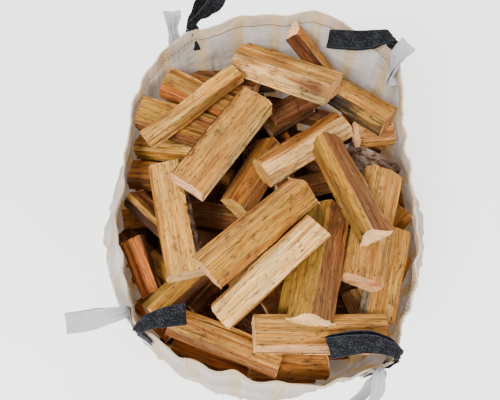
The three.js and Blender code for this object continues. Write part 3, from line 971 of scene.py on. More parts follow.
    def roughen(self, mesh: bpy.types.Mesh) -> None:
        """Cuts fibres, steps and chips into the faces, nearly always inwards.

        The depths are summed in millimetres.

        Args:
            mesh: The painted mesh, lying along x at the origin.
        """
        points = coordinates(mesh)
        vertices, polygons = corner_points(mesh)
        index = np.zeros(len(mesh.polygons), int)
        mesh.polygons.foreach_get("material_index", index)
        sides = np.zeros(len(points), bool)
        ends = np.zeros(len(points), bool)
        barked = np.zeros(len(points), bool)
        sides[vertices[index[polygons] != 1]] = True
        ends[vertices[index[polygons] == 1]] = True
        barked[vertices[index[polygons] == 2]] = True
        aside = vertex_normals(mesh) * np.array([0.0, 1.0, 1.0])
        aside /= np.maximum(np.linalg.norm(aside, axis=1), 1e-6)[:, None]
        seed = self.seed()
        fibres = Waves(seed + 3, (0.3, 0.011, 0.011), 9).at(points)
        steps = np.tanh(10.0 * Waves(seed + 4, (0.6, 0.03, 0.03), 5).at(points))
        swell = Waves(seed + 5, (0.2, 0.08, 0.08), 5).at(points)
        crust = Waves(seed + 6, (0.03, 0.016, 0.016), 9).at(points)
        depth = 2.6 + 0.9 * fibres + 2.0 * steps + 1.3 * swell
        depth = np.where(barked, 2.4 + 1.6 * crust + 0.8 * swell, depth)
        depth = np.clip(depth, -0.2, 6.5) * MM
        points -= aside * (depth * sides)[:, None]
        chips = Waves(seed + 7, (9.0, 0.018, 0.018), 7).at(points)
        ragged = Waves(seed + 8, (9.0, 0.05, 0.05), 4).at(points)
        worn = 0.5 + 0.5 * ragged + np.where(sides, np.clip(chips - 0.5, 0, 2) * 3.2, 0.35 * chips)
        points[:, 0] -= np.sign(points[:, 0]) * np.clip(worn, 0, 6) * MM * ends
        place_vertices(mesh, points)

    def shape(
        self, finishes: Sequence[bpy.types.Material], ring: float, across: float, name: str
    ) -> tuple[bpy.types.Object, Matrix]:
        """Makes the log in its own axes.

        Args:
            finishes: The materials of the split faces, the sawn ends and the bark.
            ring: Distance between cuts along the log, in metres.
            across: Longest edge across the log, in metres.
            name: The new piece's name.

        Returns:
            The piece, lying along x at the origin, and the matrix to its place.
        """
        piece = copy_node(self.node, name)
        frame = self.frame(piece.data)
        piece.data.transform(frame.inverted())
        self.refine(piece, ring, across)
        self.paint(piece.data)
        self.roughen(piece.data)
        for finish in finishes:
            piece.data.materials.append(finish)
        return piece, frame

    def splinter(self, piece: bpy.types.Object, finish: bpy.types.Material, count: int) -> None:
        """Lifts a few torn slivers off the upper faces and joins them to the log.

        Args:
            piece: The roughened log, lying along x at the origin.
            finish: The material of the split faces.
            count: How many slivers.
        """
        draw = np.random.default_rng(self.seed() + 9)
        points = coordinates(piece.data)
        half = np.abs(points[:, 0]).max()
        upper = vertex_normals(piece.data)[:, 2] > 0.35
        inner = np.abs(points[:, 0]) < half * 0.8
        free = np.nonzero(upper & inner)[0]
        slivers = []
        for _ in range(count):
            at = Vector(points[int(draw.choice(free))])
            length, wide = draw.uniform(0.02, 0.06), draw.uniform(1.6, 3.6) * MM
            deselect()
            bpy.ops.mesh.primitive_cone_add(vertices=5, radius1=wide / 2, radius2=0.2 * MM, depth=length)
            sliver = bpy.context.object
            way = draw.choice([-1.0, 1.0])
            flatten = Matrix.Diagonal((1.0, 1.0, 0.4, 1.0))
            lie = Matrix.Rotation(way * math.pi / 2, 4, "Y")
            lift = Matrix.Rotation(-way * draw.uniform(0.02, 0.1), 4, "Y")
            slip = Matrix.Rotation(draw.normal(0, 0.05), 4, "Z")
            sliver.data.transform(Matrix.Translation(at) @ slip @ lift @ flatten @ lie)
            mesh = sliver.data
            drop_uv_layers(mesh)
            mesh.materials.append(finish)
            tone = np.clip(np.array(linear(self.up.value)) * draw.uniform(0.8, 1.3), 0, 1)
            write_attribute(mesh, "tone", "FLOAT_COLOR", "CORNER", np.tile(tone, (len(mesh.loops), 1)))
            write_attribute(mesh, "grain", "FLOAT_VECTOR", "POINT", coordinates(mesh) + draw.uniform(1, 9))
            slivers.append(sliver)
        join_pieces([piece, *slivers], piece.name)

    def build(self, finishes: Sequence[bpy.types.Material]) -> bpy.types.Object:
        """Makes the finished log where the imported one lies.

        Args:
            finishes: The materials of the split faces, the sawn ends and the bark.

        Returns:
            The piece.
        """
        piece, frame = self.shape(finishes, 9 * MM, 5 * MM, "split_" + self.node)
        self.splinter(piece, finishes[0], 5)
        piece.data.transform(frame)
        pick(piece)
        bpy.ops.object.shade_smooth_by_angle(angle=WOOD_CREASE)
        return piece


LOGS = (
    SplitLog("log_fill_left", Tone.UMBER, Tone.BROWN, Tone.UMBER),
    SplitLog("log_fill_right", Tone.UMBER, Tone.HONEY, Tone.RUSSET),
    SplitLog("log_middle_left_low", Tone.RUSSET, Tone.BROWN, Tone.UMBER),
    SplitLog("log_front_hidden", Tone.BROWN, Tone.HONEY, Tone.ORANGE),
    SplitLog("log_back_dark", Tone.RUSSET, Tone.BROWN, Tone.UMBER),
    SplitLog("log_middle_low", Tone.RUSSET, Tone.BROWN, Tone.UMBER),
    SplitLog("log_gap_back", Tone.UMBER, Tone.BROWN, Tone.RUSSET),
    SplitLog("log_gap_right", Tone.BROWN, Tone.HONEY, Tone.UMBER),
    SplitLog("log_gap_front", Tone.UMBER, Tone.BROWN, Tone.RUSSET),
    SplitLog("log_right_narrow", Tone.ORANGE, Tone.HONEY, Tone.BROWN),
    # its near face has the painted shade tone
    SplitLog("log_right_grey", Tone.ASH, Tone.ASH, Tone.DARK, bark=Flank.UP, turns=(-75, 35)),
    SplitLog("log_right_low", Tone.BROWN, Tone.HONEY, Tone.RUSSET),
    SplitLog("log_centre_right_low", Tone.UMBER, Tone.BROWN, Tone.UMBER),
    SplitLog("log_front_left_low", Tone.RUSSET, Tone.BROWN, Tone.RUSSET),
    SplitLog("log_front_left_small", Tone.BROWN, Tone.TAN, Tone.BROWN),
    SplitLog("log_front_left_corner", Tone.BROWN, Tone.HONEY, Tone.ORANGE),
    SplitLog("log_back_right_low", Tone.RUSSET, Tone.BROWN, Tone.UMBER),
    SplitLog("log_front_low", Tone.BROWN, Tone.ORANGE, Tone.RUSSET),
    SplitLog("log_front_orange", Tone.BROWN, Tone.HONEY, Tone.HONEY),
    SplitLog("log_front_right_corner", Tone.PINK, Tone.PINK, Tone.TAN),
    SplitLog("log_right_wall", Tone.BROWN, Tone.HONEY, Tone.ORANGE),
    SplitLog("log_left_orange", Tone.BROWN, Tone.HONEY, Tone.BROWN),
    SplitLog("log_left_narrow", Tone.GOLD, Tone.STRAW, Tone.GOLD),
    SplitLog("log_back_middle_low", Tone.UMBER, Tone.RUSSET, Tone.UMBER, bark=Flank.NEAR),
    SplitLog("log_back_left_brown", Tone.BROWN, Tone.BROWN, Tone.HONEY),
    SplitLog("log_right_pinkish", Tone.TAN, Tone.PINK, Tone.TAN),
    SplitLog("log_middle_orange", Tone.HONEY, Tone.HONEY, Tone.BROWN, Tone.STRAW),
    # its near face, with the bark, has the painted shade tone
    SplitLog("log_middle_stub", Tone.UMBER, Tone.BROWN, Tone.DARK, bark=Flank.NEAR),
    SplitLog("log_left_slanting", Tone.BROWN, Tone.TAN, Tone.UMBER),
    SplitLog("log_front_left_steep", Tone.RUSSET, Tone.ORANGE, Tone.RUSSET),
    SplitLog("log_front_left_pale", Tone.OLIVE, Tone.GOLD, Tone.RUSSET),
    SplitLog("log_back_left_orange", Tone.BROWN, Tone.TAN, Tone.ORANGE),
    # The brown mark near one end of its upper face is painted shadow.
    SplitLog("log_left_board", Tone.OLIVE, Tone.GOLD, Tone.BROWN,
             marks=(Mark(-0.7, 0, (60, 60), Tone.BROWN),)),
    SplitLog("log_centre_thin", Tone.GOLD, Tone.OLIVE, Tone.GOLD, Tone.PALE),
    SplitLog("log_right_red", Tone.GREY, Tone.TAN, Tone.HONEY, turns=(-20, 45)),
    SplitLog("log_middle_rounded", Tone.HONEY, Tone.HONEY, Tone.PALE, Tone.STRAW, turns=(-60, 2)),
    SplitLog("log_right_upright", Tone.OLIVE, Tone.TAN, Tone.PALE, Tone.PINK, turns=(-50, 30)),
    # Its near face is painted shade, with a straw patch painted where light falls on it.
    SplitLog("log_back_right_long", Tone.OLIVE, Tone.TAN, Tone.DARK, Tone.PINK, turns=(-38, 30),
             marks=(Mark(-0.55, 60, (48, 24), Tone.STRAW),)),
    SplitLog("log_front_long", Tone.UMBER, Tone.TAN, Tone.BROWN),
    SplitLog("log_front_right_level", Tone.TAN, Tone.TAN, Tone.PINK, Tone.PALE),
    SplitLog("log_centre_upright", Tone.OLIVE, Tone.GOLD, Tone.BROWN, Tone.PALE, turns=(-15, 30)),
    SplitLog("log_left_upright", Tone.GOLD, Tone.STRAW, Tone.GREY, Tone.PALE,
             bark=Flank.NEAR, bark_over=(22, 8)),
    # The russet mark near one end of its near face is painted shadow.
    SplitLog("log_back_big", Tone.BROWN, Tone.TAN, Tone.PALE, Tone.PINK, turns=(-38, 14),
             marks=(Mark(-0.75, 50, (50, 40), Tone.RUSSET), Mark(0.1, 50, (16, 9), Tone.ORANGE))),
    SplitLog("log_back_leaning", Tone.BROWN, Tone.HONEY, Tone.RUSSET),
    SplitLog("log_centre_pinkish", Tone.STRAW, Tone.PALE, Tone.TAN, Tone.PALE),
    SplitLog("log_right_golden", Tone.OLIVE, Tone.GOLD, Tone.BROWN, Tone.BLUSH, turns=(-38, 12)),
    SplitLog("log_top_board", Tone.BROWN, Tone.TAN, Tone.PALE, Tone.BLUSH,
             bark=Flank.FAR, bark_over=(12, 16)),
    SplitLog("log_centre_big", Tone.TAN, Tone.TAN, Tone.GOLD, Tone.PINK, turns=(-38, 10)),
    SplitLog("log_top_slim", Tone.HONEY, Tone.STRAW, Tone.TAN, Tone.PINK),
)


@dataclass
class TopLogs:
    """The logs that show in the mouth of the bag."""

    logs: tuple[SplitLog, ...] = LOGS

    def build(self, finishes: Sequence[bpy.types.Material], slots: dict[str, str]) -> None:
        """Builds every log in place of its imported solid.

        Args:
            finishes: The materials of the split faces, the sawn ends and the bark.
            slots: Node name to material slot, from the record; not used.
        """
        for log in self.logs:
            piece = log.build(finishes)
            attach(piece, "root")
            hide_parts(log.node)
        LOG.info("built %d logs in the mouth", len(self.logs))


@dataclass
class LowerHeap:
    """The logs underneath, laid in level courses that fill the bag."""

    top: float = 503 * MM
    bottom: float = 12 * MM
    course: float = 68 * MM
    pitch: float = 98 * MM
    length: float = 300 * MM
    end_gap: float = 0.02
    slide: float = 0.1
    half_width: float = 0.04
    filled: float = 0.94
    tilt: float = 0.09
    patterns: tuple[str, ...] = (
        "log_centre_upright", "log_right_golden", "log_back_big", "log_left_upright", "log_centre_pinkish",
    )

    def build(self, finishes: Sequence[bpy.types.Material], wall: "BagWall") -> bpy.types.Object:
        """Fills the bag below the mouth.

        Args:
            finishes: The materials of the split faces, the sawn ends and the bark.
            wall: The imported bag's wall, which the logs stay inside.

        Returns:
            One piece with all the logs.
        """
        draw = np.random.default_rng(7)
        tones = (Tone.BROWN, Tone.HONEY, Tone.RUSSET, Tone.TAN, Tone.UMBER)
        moulds = []
        for node, tone in zip(self.patterns, tones):
            log = SplitLog(node, tone, tone, tone, Tone.HONEY)
            moulds.append(log.shape(finishes, 45 * MM, 30 * MM, "mould")[0])
        logs = []
        z = self.top - self.course / 2
        heading = 0.4
        while z > self.bottom + self.course / 2:
            heading += draw.uniform(0.9, 1.6)
            logs += self.lay_course(moulds, wall, z, heading, draw)
            z -= self.course
        for mould in moulds:
            bpy.data.objects.remove(mould)
        piece = join_pieces(logs, "logs_underneath")
        bpy.ops.object.shade_smooth_by_angle(angle=WOOD_CREASE)
        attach(piece, "root")
        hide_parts("lower_logs")
        LOG.info("laid %d logs underneath", len(logs))
        return piece

    def lay_course(
        self,
        moulds: list[bpy.types.Object],
        wall: "BagWall",
        z: float,
        heading: float,
        draw: np.random.Generator,
    ) -> list[bpy.types.Object]:
        """Lays one course of nearly parallel logs inside the wall.

        Args:
            moulds: The logs to copy, in their own axes.
            wall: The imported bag's wall.
            z: Height of the course's middle, in metres.
            heading: Which way the course's logs lie, in radians.
            draw: The random numbers.

        Returns:
            The copies, in place.
        """
        way = Vector((math.cos(heading), math.sin(heading), 0))
        side = Vector((-way.y, way.x, 0))
        copies = []
        for row in range(-5, 6):
            shift = draw.uniform(-self.slide, self.slide)
            for step in (-1, 0, 1):
                middle = side * (row * self.pitch) + way * (step * (self.length + self.end_gap) + shift)
                tips = [
                    middle + way * (end * self.length / 2) + side * (flank * self.half_width)
                    for end in (-1, 1) for flank in (-1, 1)
                ]
                if not all(wall.holds(tip.x, tip.y + wall.middle, z) for tip in tips):
                    continue
                log = copy_piece(moulds[int(draw.integers(len(moulds)))])
                size = log.dimensions
                lean = Matrix.Rotation(heading + draw.uniform(-self.tilt, self.tilt), 4, "Z")
                roll = Matrix.Rotation(draw.choice([0.0, math.pi]), 4, "X")
                wide, thick = self.pitch * self.filled, self.course * self.filled
                scale = Matrix.Diagonal((self.length / size.x, wide / size.y, thick / size.z, 1.0))
                place = Matrix.Translation((middle.x, middle.y + wall.middle, z))
                log.data.transform(place @ lean @ roll @ scale)
                copies.append(log)
        return copies


@dataclass
class WedgedLogs:
    """Smaller logs wedged between the heap underneath and the logs on top.

    The bare spots are places near the wall, in millimetres. Each is tried many times over before the rest
    of the mouth, because the logs on top leave gaps there.
    """

    tries: int = 800
    bare_spots: tuple[tuple[float, float], ...] = (
        (5, 390), (100, 380), (160, 400), (225, 290), (300, 380),
        (-410, -60), (-420, 120), (350, 240), (360, 90),
    )
    tries_at_spot: int = 90
    spread: float = 0.035
    lengths: tuple[float, float] = (0.17, 0.31)
    widths: tuple[float, float] = (0.05, 0.08)
    thicknesses: tuple[float, float] = (0.04, 0.065)
    tilt: float = 0.3
    farthest: float = 0.46
    longest_half: float = 0.17
    low: float = 0.5
    high: float = 0.655
    high_at_wall: float = 0.735
    at_wall: float = 0.33
    step: float = 12 * MM

    def build(self, finishes: Sequence[bpy.types.Material], wall: "BagWall") -> bpy.types.Object:
        """Drops logs into the gaps, each as low as it fits, without touching another.

        Args:
            finishes: The materials of the split faces, the sawn ends and the bark.
            wall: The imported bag's wall, which the logs stay inside.

        Returns:
            One piece with all the logs.
        """
        draw = np.random.default_rng(12)
        kinds = (
            ("log_centre_upright", Tone.HONEY),
            ("log_right_golden", Tone.BROWN),
            ("log_back_big", Tone.TAN),
            ("log_left_upright", Tone.OLIVE),
            ("log_centre_pinkish", Tone.ORANGE),
            ("log_top_slim", Tone.RUSSET),
        )
        moulds = [
            SplitLog(node, tone, tone, tone, Tone.PINK).shape(finishes, 20 * MM, 12 * MM, "mould")[0]
            for node, tone in kinds
        ]
        taken = [self.packed_tree([log.node for log in LOGS] + ["lower_logs"])]
        middles = [np.array([9.0, 9.0, 9.0])]
        logs = []
        for number in range(self.tries + len(self.bare_spots) * self.tries_at_spot):
            spot = number // self.tries_at_spot
            at_spot = spot < len(self.bare_spots)
            mould = moulds[int(draw.integers(len(moulds)))]
            size = np.array(mould.dimensions)
            wanted = np.array([draw.uniform(*ends) for ends in (self.lengths, self.widths, self.thicknesses)])
            heading, tilt = draw.uniform(0, math.pi), draw.normal(0, self.tilt)
            roll = draw.uniform(0, 2 * math.pi)
            turn = Matrix.Rotation(heading, 4, "Z") @ Matrix.Rotation(tilt, 4, "Y")
            turn = turn @ Matrix.Rotation(roll, 4, "X")
            round_way, reach = draw.uniform(0, 2 * math.pi), self.farthest * math.sqrt(draw.uniform(0, 1))
            x, y = reach * math.cos(round_way), reach * math.sin(round_way) + wall.middle
            if at_spot:
                x, y = (place * MM + draw.normal(0, self.spread) for place in self.bare_spots[spot])
                reach = self.at_wall + 1
                wanted[0] *= draw.uniform(0.5, 1)
            corners = [
                turn @ Vector((a * wanted[0] / 2, b * wanted[1] / 2, c * wanted[2] / 2))
                for a in (-1, 1) for b in (-1, 1) for c in (-1, 1)
            ]
            z = self.low - min(c.z for c in corners)
            high = self.high_at_wall if reach > self.at_wall else self.high
            while z < high and self.blocked(corners, Vector((x, y, z)), wanted, taken, middles):
                z += self.step
            at = Vector((x, y, z))
            least = 0 if reach > self.at_wall else 2
            if z >= high or self.covered(turn, wanted, at, taken[0]) < least:
                continue
            if not all(wall.holds(at.x + c.x, at.y + c.y, at.z + c.z) for c in corners):
                continue
            log = copy_piece(mould)
            scale = Matrix.Diagonal((*(wanted / size), 1.0))
            log.data.transform(Matrix.Translation(at) @ turn @ scale)
            logs.append(log)
            taken.append(self.box_tree([c + at for c in corners]))
            middles.append(np.array(at))
        for mould in moulds:
            bpy.data.objects.remove(mould)
        piece = join_pieces(logs, "logs_between")
        bpy.ops.object.shade_smooth_by_angle(angle=WOOD_CREASE)
        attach(piece, "root")
        LOG.info("wedged %d logs into the gaps", len(logs))
        return piece

    @staticmethod
    def packed_tree(nodes: Iterable[str]) -> BVHTree:
        """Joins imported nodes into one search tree.

        Args:
            nodes: The nodes' names.

        Returns:
            The tree of all their faces.
        """
        places, faces = [], []
        for node in nodes:
            mesh = bpy.data.objects[node].data
            first = len(places)
            places += [v.co.copy() for v in mesh.vertices]
            faces += [tuple(first + v for v in p.vertices) for p in mesh.polygons]
        return BVHTree.FromPolygons(places, faces)

    @staticmethod
    def box_tree(corners: Sequence[Vector]) -> BVHTree:
        """Returns the search tree of a box from its eight corners."""
        sides = ((0, 1, 3, 2), (4, 6, 7, 5), (0, 4, 5, 1), (2, 3, 7, 6), (0, 2, 6, 4), (1, 5, 7, 3))
        return BVHTree.FromPolygons(list(corners), sides)

    def blocked(
        self,
        corners: Sequence[Vector],
        at: Vector,
        size: np.ndarray,
        taken: list[BVHTree],
        middles: list[np.ndarray],
    ) -> bool:
        """Tells whether a log's box at a place meets another log.

        Args:
            corners: The box's corners round its middle.
            at: The place of its middle.
            size: The box's length, width and thickness.
            taken: The search trees of the logs there already.
            middles: The middle of each.

        Returns:
            True where the place is taken.
        """
        box = self.box_tree([c + at for c in corners])
        for i, tree in enumerate(taken):
            if i and np.linalg.norm(middles[i] - np.array(at)) > size[0] / 2 + self.longest_half:
                continue
            if box.overlap(tree):
                return True
        return False

    @staticmethod
    def covered(turn: Matrix, size: np.ndarray, at: Vector, logs: BVHTree) -> int:
        """Counts how many of five points along a log lie under the logs on top.

        Args:
            turn: How the log is turned.
            size: Its length, width and thickness.
            at: The place of its middle.
            logs: The search tree of the logs on top.

        Returns:
            The count, from 0 to 5.
        """
        hits = 0
        for share in (-0.42, -0.2, 0.0, 0.2, 0.42):
            point = at + turn @ Vector((share * size[0], 0, 0))
            hits += logs.ray_cast(point, Vector((0, 0, 1)))[0] is not None
        return hits


class BagWall:
    """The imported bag, read as a wall: how high its edge is and how far out it stands in each direction.

    The edge is read in so many steps round the mouth, from the points above the top level. A place counts
    as held when it keeps a little room from the wall.
    """

    steps = 80
    top = 0.6
    room = 0.016
    fallback = 0.4

    def __init__(self, node: str = "bag") -> None:
        """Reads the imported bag.

        Args:
            node: The bag's node.
        """
        low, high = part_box(node)
        self.middle = (low.y + high.y) / 2
        mesh = bpy.data.objects[node].data
        points = coordinates(mesh) - np.array([0.0, self.middle, 0.0])
        top = points[points[:, 2] > self.top]
        turns = np.arctan2(top[:, 1], top[:, 0])
        steps = np.round((turns % (2 * math.pi)) / (2 * math.pi) * self.steps).astype(int) % self.steps
        self.edge = np.array([top[steps == k, 2].max() for k in range(self.steps)])
        polygons = [p.vertices[:] for p in mesh.polygons]
        self.tree = BVHTree.FromPolygons([tuple(p) for p in points], polygons)

    def height(self, angle: float) -> float:
        """Reads the height of the edge.

        Args:
            angle: The direction, in radians.

        Returns:
            The height, in metres.
        """
        place = (angle % (2 * math.pi)) / (2 * math.pi) * self.steps
        k = int(place)
        share = place - k
        return float(self.edge[k % self.steps] * (1 - share) + self.edge[(k + 1) % self.steps] * share)

    def radius(self, angle: float, z: float) -> float:
        """Returns how far out the wall's outside stands at a direction and height, in metres."""
        way = Vector((math.cos(angle), math.sin(angle), 0))
        hit = self.tree.ray_cast(Vector((0, 0, z)) + way * 1.5, -way)[0]
        return hit.xy.length if hit is not None else self.fallback

    def holds(self, x: float, y: float, z: float) -> bool:
        """Tells whether a place is inside the wall with a little room."""
        y -= self.middle
        return math.hypot(x, y) < self.radius(math.atan2(y, x), z) - self.room


def new_grid(name: str, columns: int, rows: int) -> tuple[bpy.types.Object, np.ndarray, np.ndarray]:
    """Adds a flat grid to be wrapped into a sheet.

    Args:
        name: The piece's name.
        columns: Cells from side to side.
        rows: Cells from bottom to top.

    Returns:
        The piece, and each vertex's share of the way across and of the way up, from 0 to 1.
    """
    deselect()
    bpy.ops.mesh.primitive_grid_add(x_subdivisions=columns, y_subdivisions=rows, size=2.0)
    piece = bpy.context.object
    piece.name = name
    drop_uv_layers(piece.data)
    points = coordinates(piece.data)
    return piece, (points[:, 0] + 1) / 2, (points[:, 1] + 1) / 2


@dataclass
class WovenBag:
    """The bag: one woven cloth with a square base, a round belly and a wavy hemmed mouth."""

    wall: BagWall
    columns: int = 400
    rows: int = 84
    base_rows: float = 0.1
    hem: float = 42 * MM
    cloth: float = 1.3 * MM
    hem_cloth: float = 4.6 * MM
    foot: float = 24 * MM
    presses: int = 150
    pressed_out_mm: float = 13
    drawn_in_mm: float = 4
    fold_mm: float = 2.2
    rim_fold_mm: float = 3.6
    rim_pleat_mm: float = 1.3
    gather_mm: float = 3.0
    seam_mm: float = 3.2
    drag_mm: float = 7.0
    hang_mm: float = 4.5
    corner_angles: tuple[float, ...] = tuple(
        math.atan2(y, x) for x, y in (BACK_RIGHT, BACK_LEFT, FRONT_LEFT, FRONT_RIGHT)
    )

    def build(self, finish: bpy.types.Material) -> bpy.types.Object:
        """Wraps, creases and hems the cloth.

        Args:
            finish: The woven material.

        Returns:
            The piece.
        """
        piece, across, up = new_grid("woven_bag", self.columns, self.rows)
        angles = across * 2 * math.pi
        points, reach = self.wrap(angles, up)
        mesh = piece.data
        imprint = self.imprints(angles, points[:, 2])
        place_vertices(mesh, self.crease(points, angles, reach, imprint))
        vertices, _ = corner_points(mesh)
        lengths = np.where(up < self.base_rows, 0, points[:, 2])
        edges = np.array([self.wall.height(a) for a in angles])
        below = edges - points[:, 2]
        cloth = np.stack([angles * WALL_RADIUS, lengths, below], axis=1)
        write_attribute(mesh, "cloth", "FLOAT_VECTOR", "CORNER", cloth[vertices])
        # Painted shade of the logs behind the cloth: browner further below the edge and most where logs press
        # on it.
        soft = np.clip((below - 0.03) / 0.08, 0, 1)
        stain = soft * (0.1 + 0.34 * imprint) * (up > self.base_rows)
        write_attribute(mesh, "stain", "FLOAT", "POINT", stain)
        group = piece.vertex_groups.new(name="hem")
        group.add([int(i) for i in np.nonzero(below < self.hem)[0]], 1.0, "REPLACE")
        pick(piece)
        bpy.ops.object.mode_set(mode="EDIT")
        bpy.ops.mesh.select_all(action="SELECT")
        bpy.ops.mesh.remove_doubles(threshold=0.3 * MM)
        bpy.ops.mesh.normals_make_consistent(inside=False)
        bpy.ops.object.mode_set(mode="OBJECT")
        apply_modifier(
            piece, "SOLIDIFY", thickness=self.hem_cloth, offset=-1.0, vertex_group="hem",
            thickness_vertex_group=self.cloth / self.hem_cloth,
        )
        mesh.materials.append(finish)
        bpy.ops.object.shade_smooth_by_angle(angle=math.radians(60))
        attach(piece, "root")
        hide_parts("bag")
        LOG.info("wrapped the bag with %d faces", len(mesh.polygons))
        return piece

    def wrap(self, angles: np.ndarray, up: np.ndarray) -> tuple[np.ndarray, np.ndarray]:
        """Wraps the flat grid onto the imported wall.

        Args:
            angles: Direction of each vertex, in radians.
            up: Share of the way from the middle of the base to the edge.

        Returns:
            The vertices, and how far up the wall each is from 0 to 1.
        """
        points = np.zeros((len(up), 3))
        share = np.clip((up - self.base_rows) / (1 - self.base_rows), 0, 1)
        cache: dict[tuple[float, float], float] = {}
        for i, (angle, part) in enumerate(zip(angles, share)):
            height = self.wall.height(angle)
            z = 1.5 * MM + part * (height - 3 * MM)
            probe = max(z, self.foot)
            key = (round(float(angle), 5), round(probe, 5))
            if key not in cache:
                cache[key] = self.wall.radius(float(angle), probe)
            radius = cache[key]
            if z < self.foot:
                radius -= (self.foot - z) ** 2 / self.foot * 0.9
            if up[i] < self.base_rows:
                radius *= max(up[i] / self.base_rows, 1e-4)
            points[i] = (radius * math.cos(angle), radius * math.sin(angle) + self.wall.middle, z)
        return points, share

    def imprints(self, angles: np.ndarray, heights: np.ndarray) -> np.ndarray:
        """Says how hard the logs inside press on the cloth.

        Args:
            angles: Direction of each vertex, in radians.
            heights: Height of each vertex, in metres.

        Returns:
            From 0, free, to 1, pressed out by a log.
        """
        draw = np.random.default_rng(21)
        pressed = np.zeros(len(angles))
        for _ in range(self.presses):
            middle = draw.uniform(0, 2 * math.pi)
            z = draw.uniform(0.05, 0.8)
            lean = draw.normal(0.0, 0.7)
            half, thick = draw.uniform(0.07, 0.17), draw.uniform(0.024, 0.045)
            strength = draw.uniform(0.5, 1.0)
            turned = (angles - middle + math.pi) % (2 * math.pi) - math.pi
            x, y = turned * 0.5, heights - z
            along = (x * math.cos(lean) + y * math.sin(lean)) / half
            aside = (-x * math.sin(lean) + y * math.cos(lean)) / thick
            pressed = np.maximum(pressed, strength * np.exp(-(along**4) - np.abs(aside) ** 2.4))
        return pressed

    def crease(
        self, points: np.ndarray, angles: np.ndarray, share: np.ndarray, imprint: np.ndarray
    ) -> np.ndarray:
        """Pushes the cloth out over the logs and draws it into folds.

        Args:
            points: The wrapped vertices.
            angles: Direction of each vertex, in radians.
            share: How far up the wall each is.
            imprint: How hard the logs press on each.

        Returns:
            The moved vertices.
        """
        away = np.stack([np.cos(angles), np.sin(angles), np.zeros_like(angles)], axis=1)
        body = np.clip(share / 0.08, 0, 1)
        low = np.clip((0.97 - share) / 0.25, 0, 1)
        out = (imprint * self.pressed_out_mm - self.drawn_in_mm) * MM * low * body
        round_way = np.stack([np.cos(angles), np.sin(angles), points[:, 2] * 0.6], axis=1)
        folds = Waves(31, (0.16, 0.16, 0.7), 7).at(round_way)
        pleats = Waves(32, (0.11, 0.11, 1.6), 7).at(round_way)
        top = np.clip((share - 0.55) / 0.45, 0, 1)
        rim = (self.rim_fold_mm * folds + self.rim_pleat_mm * pleats) * top**1.5
        out += (self.fold_mm * folds * body + rim) * MM
        near = np.full(len(angles), 9.0)
        for corner in self.corner_angles:
            near = np.minimum(near, np.abs((angles - corner + math.pi) % (2 * math.pi) - math.pi))
        gather = np.exp(-((near / 0.26) ** 2)) * np.clip((share - 0.45) / 0.55, 0, 1)
        out += np.sin(near * 48) * self.gather_mm * MM * gather
        seam = np.exp(-((near / 0.012) ** 2)) * body
        out += self.seam_mm * MM * seam
        drag = Waves(34, (0.2, 0.2, 0.32), 7).at(round_way)
        pulled = np.clip(1 - 2.6 * np.abs(drag), 0, 1) ** 1.5
        out += self.drag_mm * MM * pulled * body * (0.35 + 0.65 * low)
        hang = Waves(33, (0.3, 0.3, 9.0), 6).at(round_way)
        moved = points + away * out[:, None]
        moved[:, 2] += hang * self.hang_mm * MM * top**3
        return moved


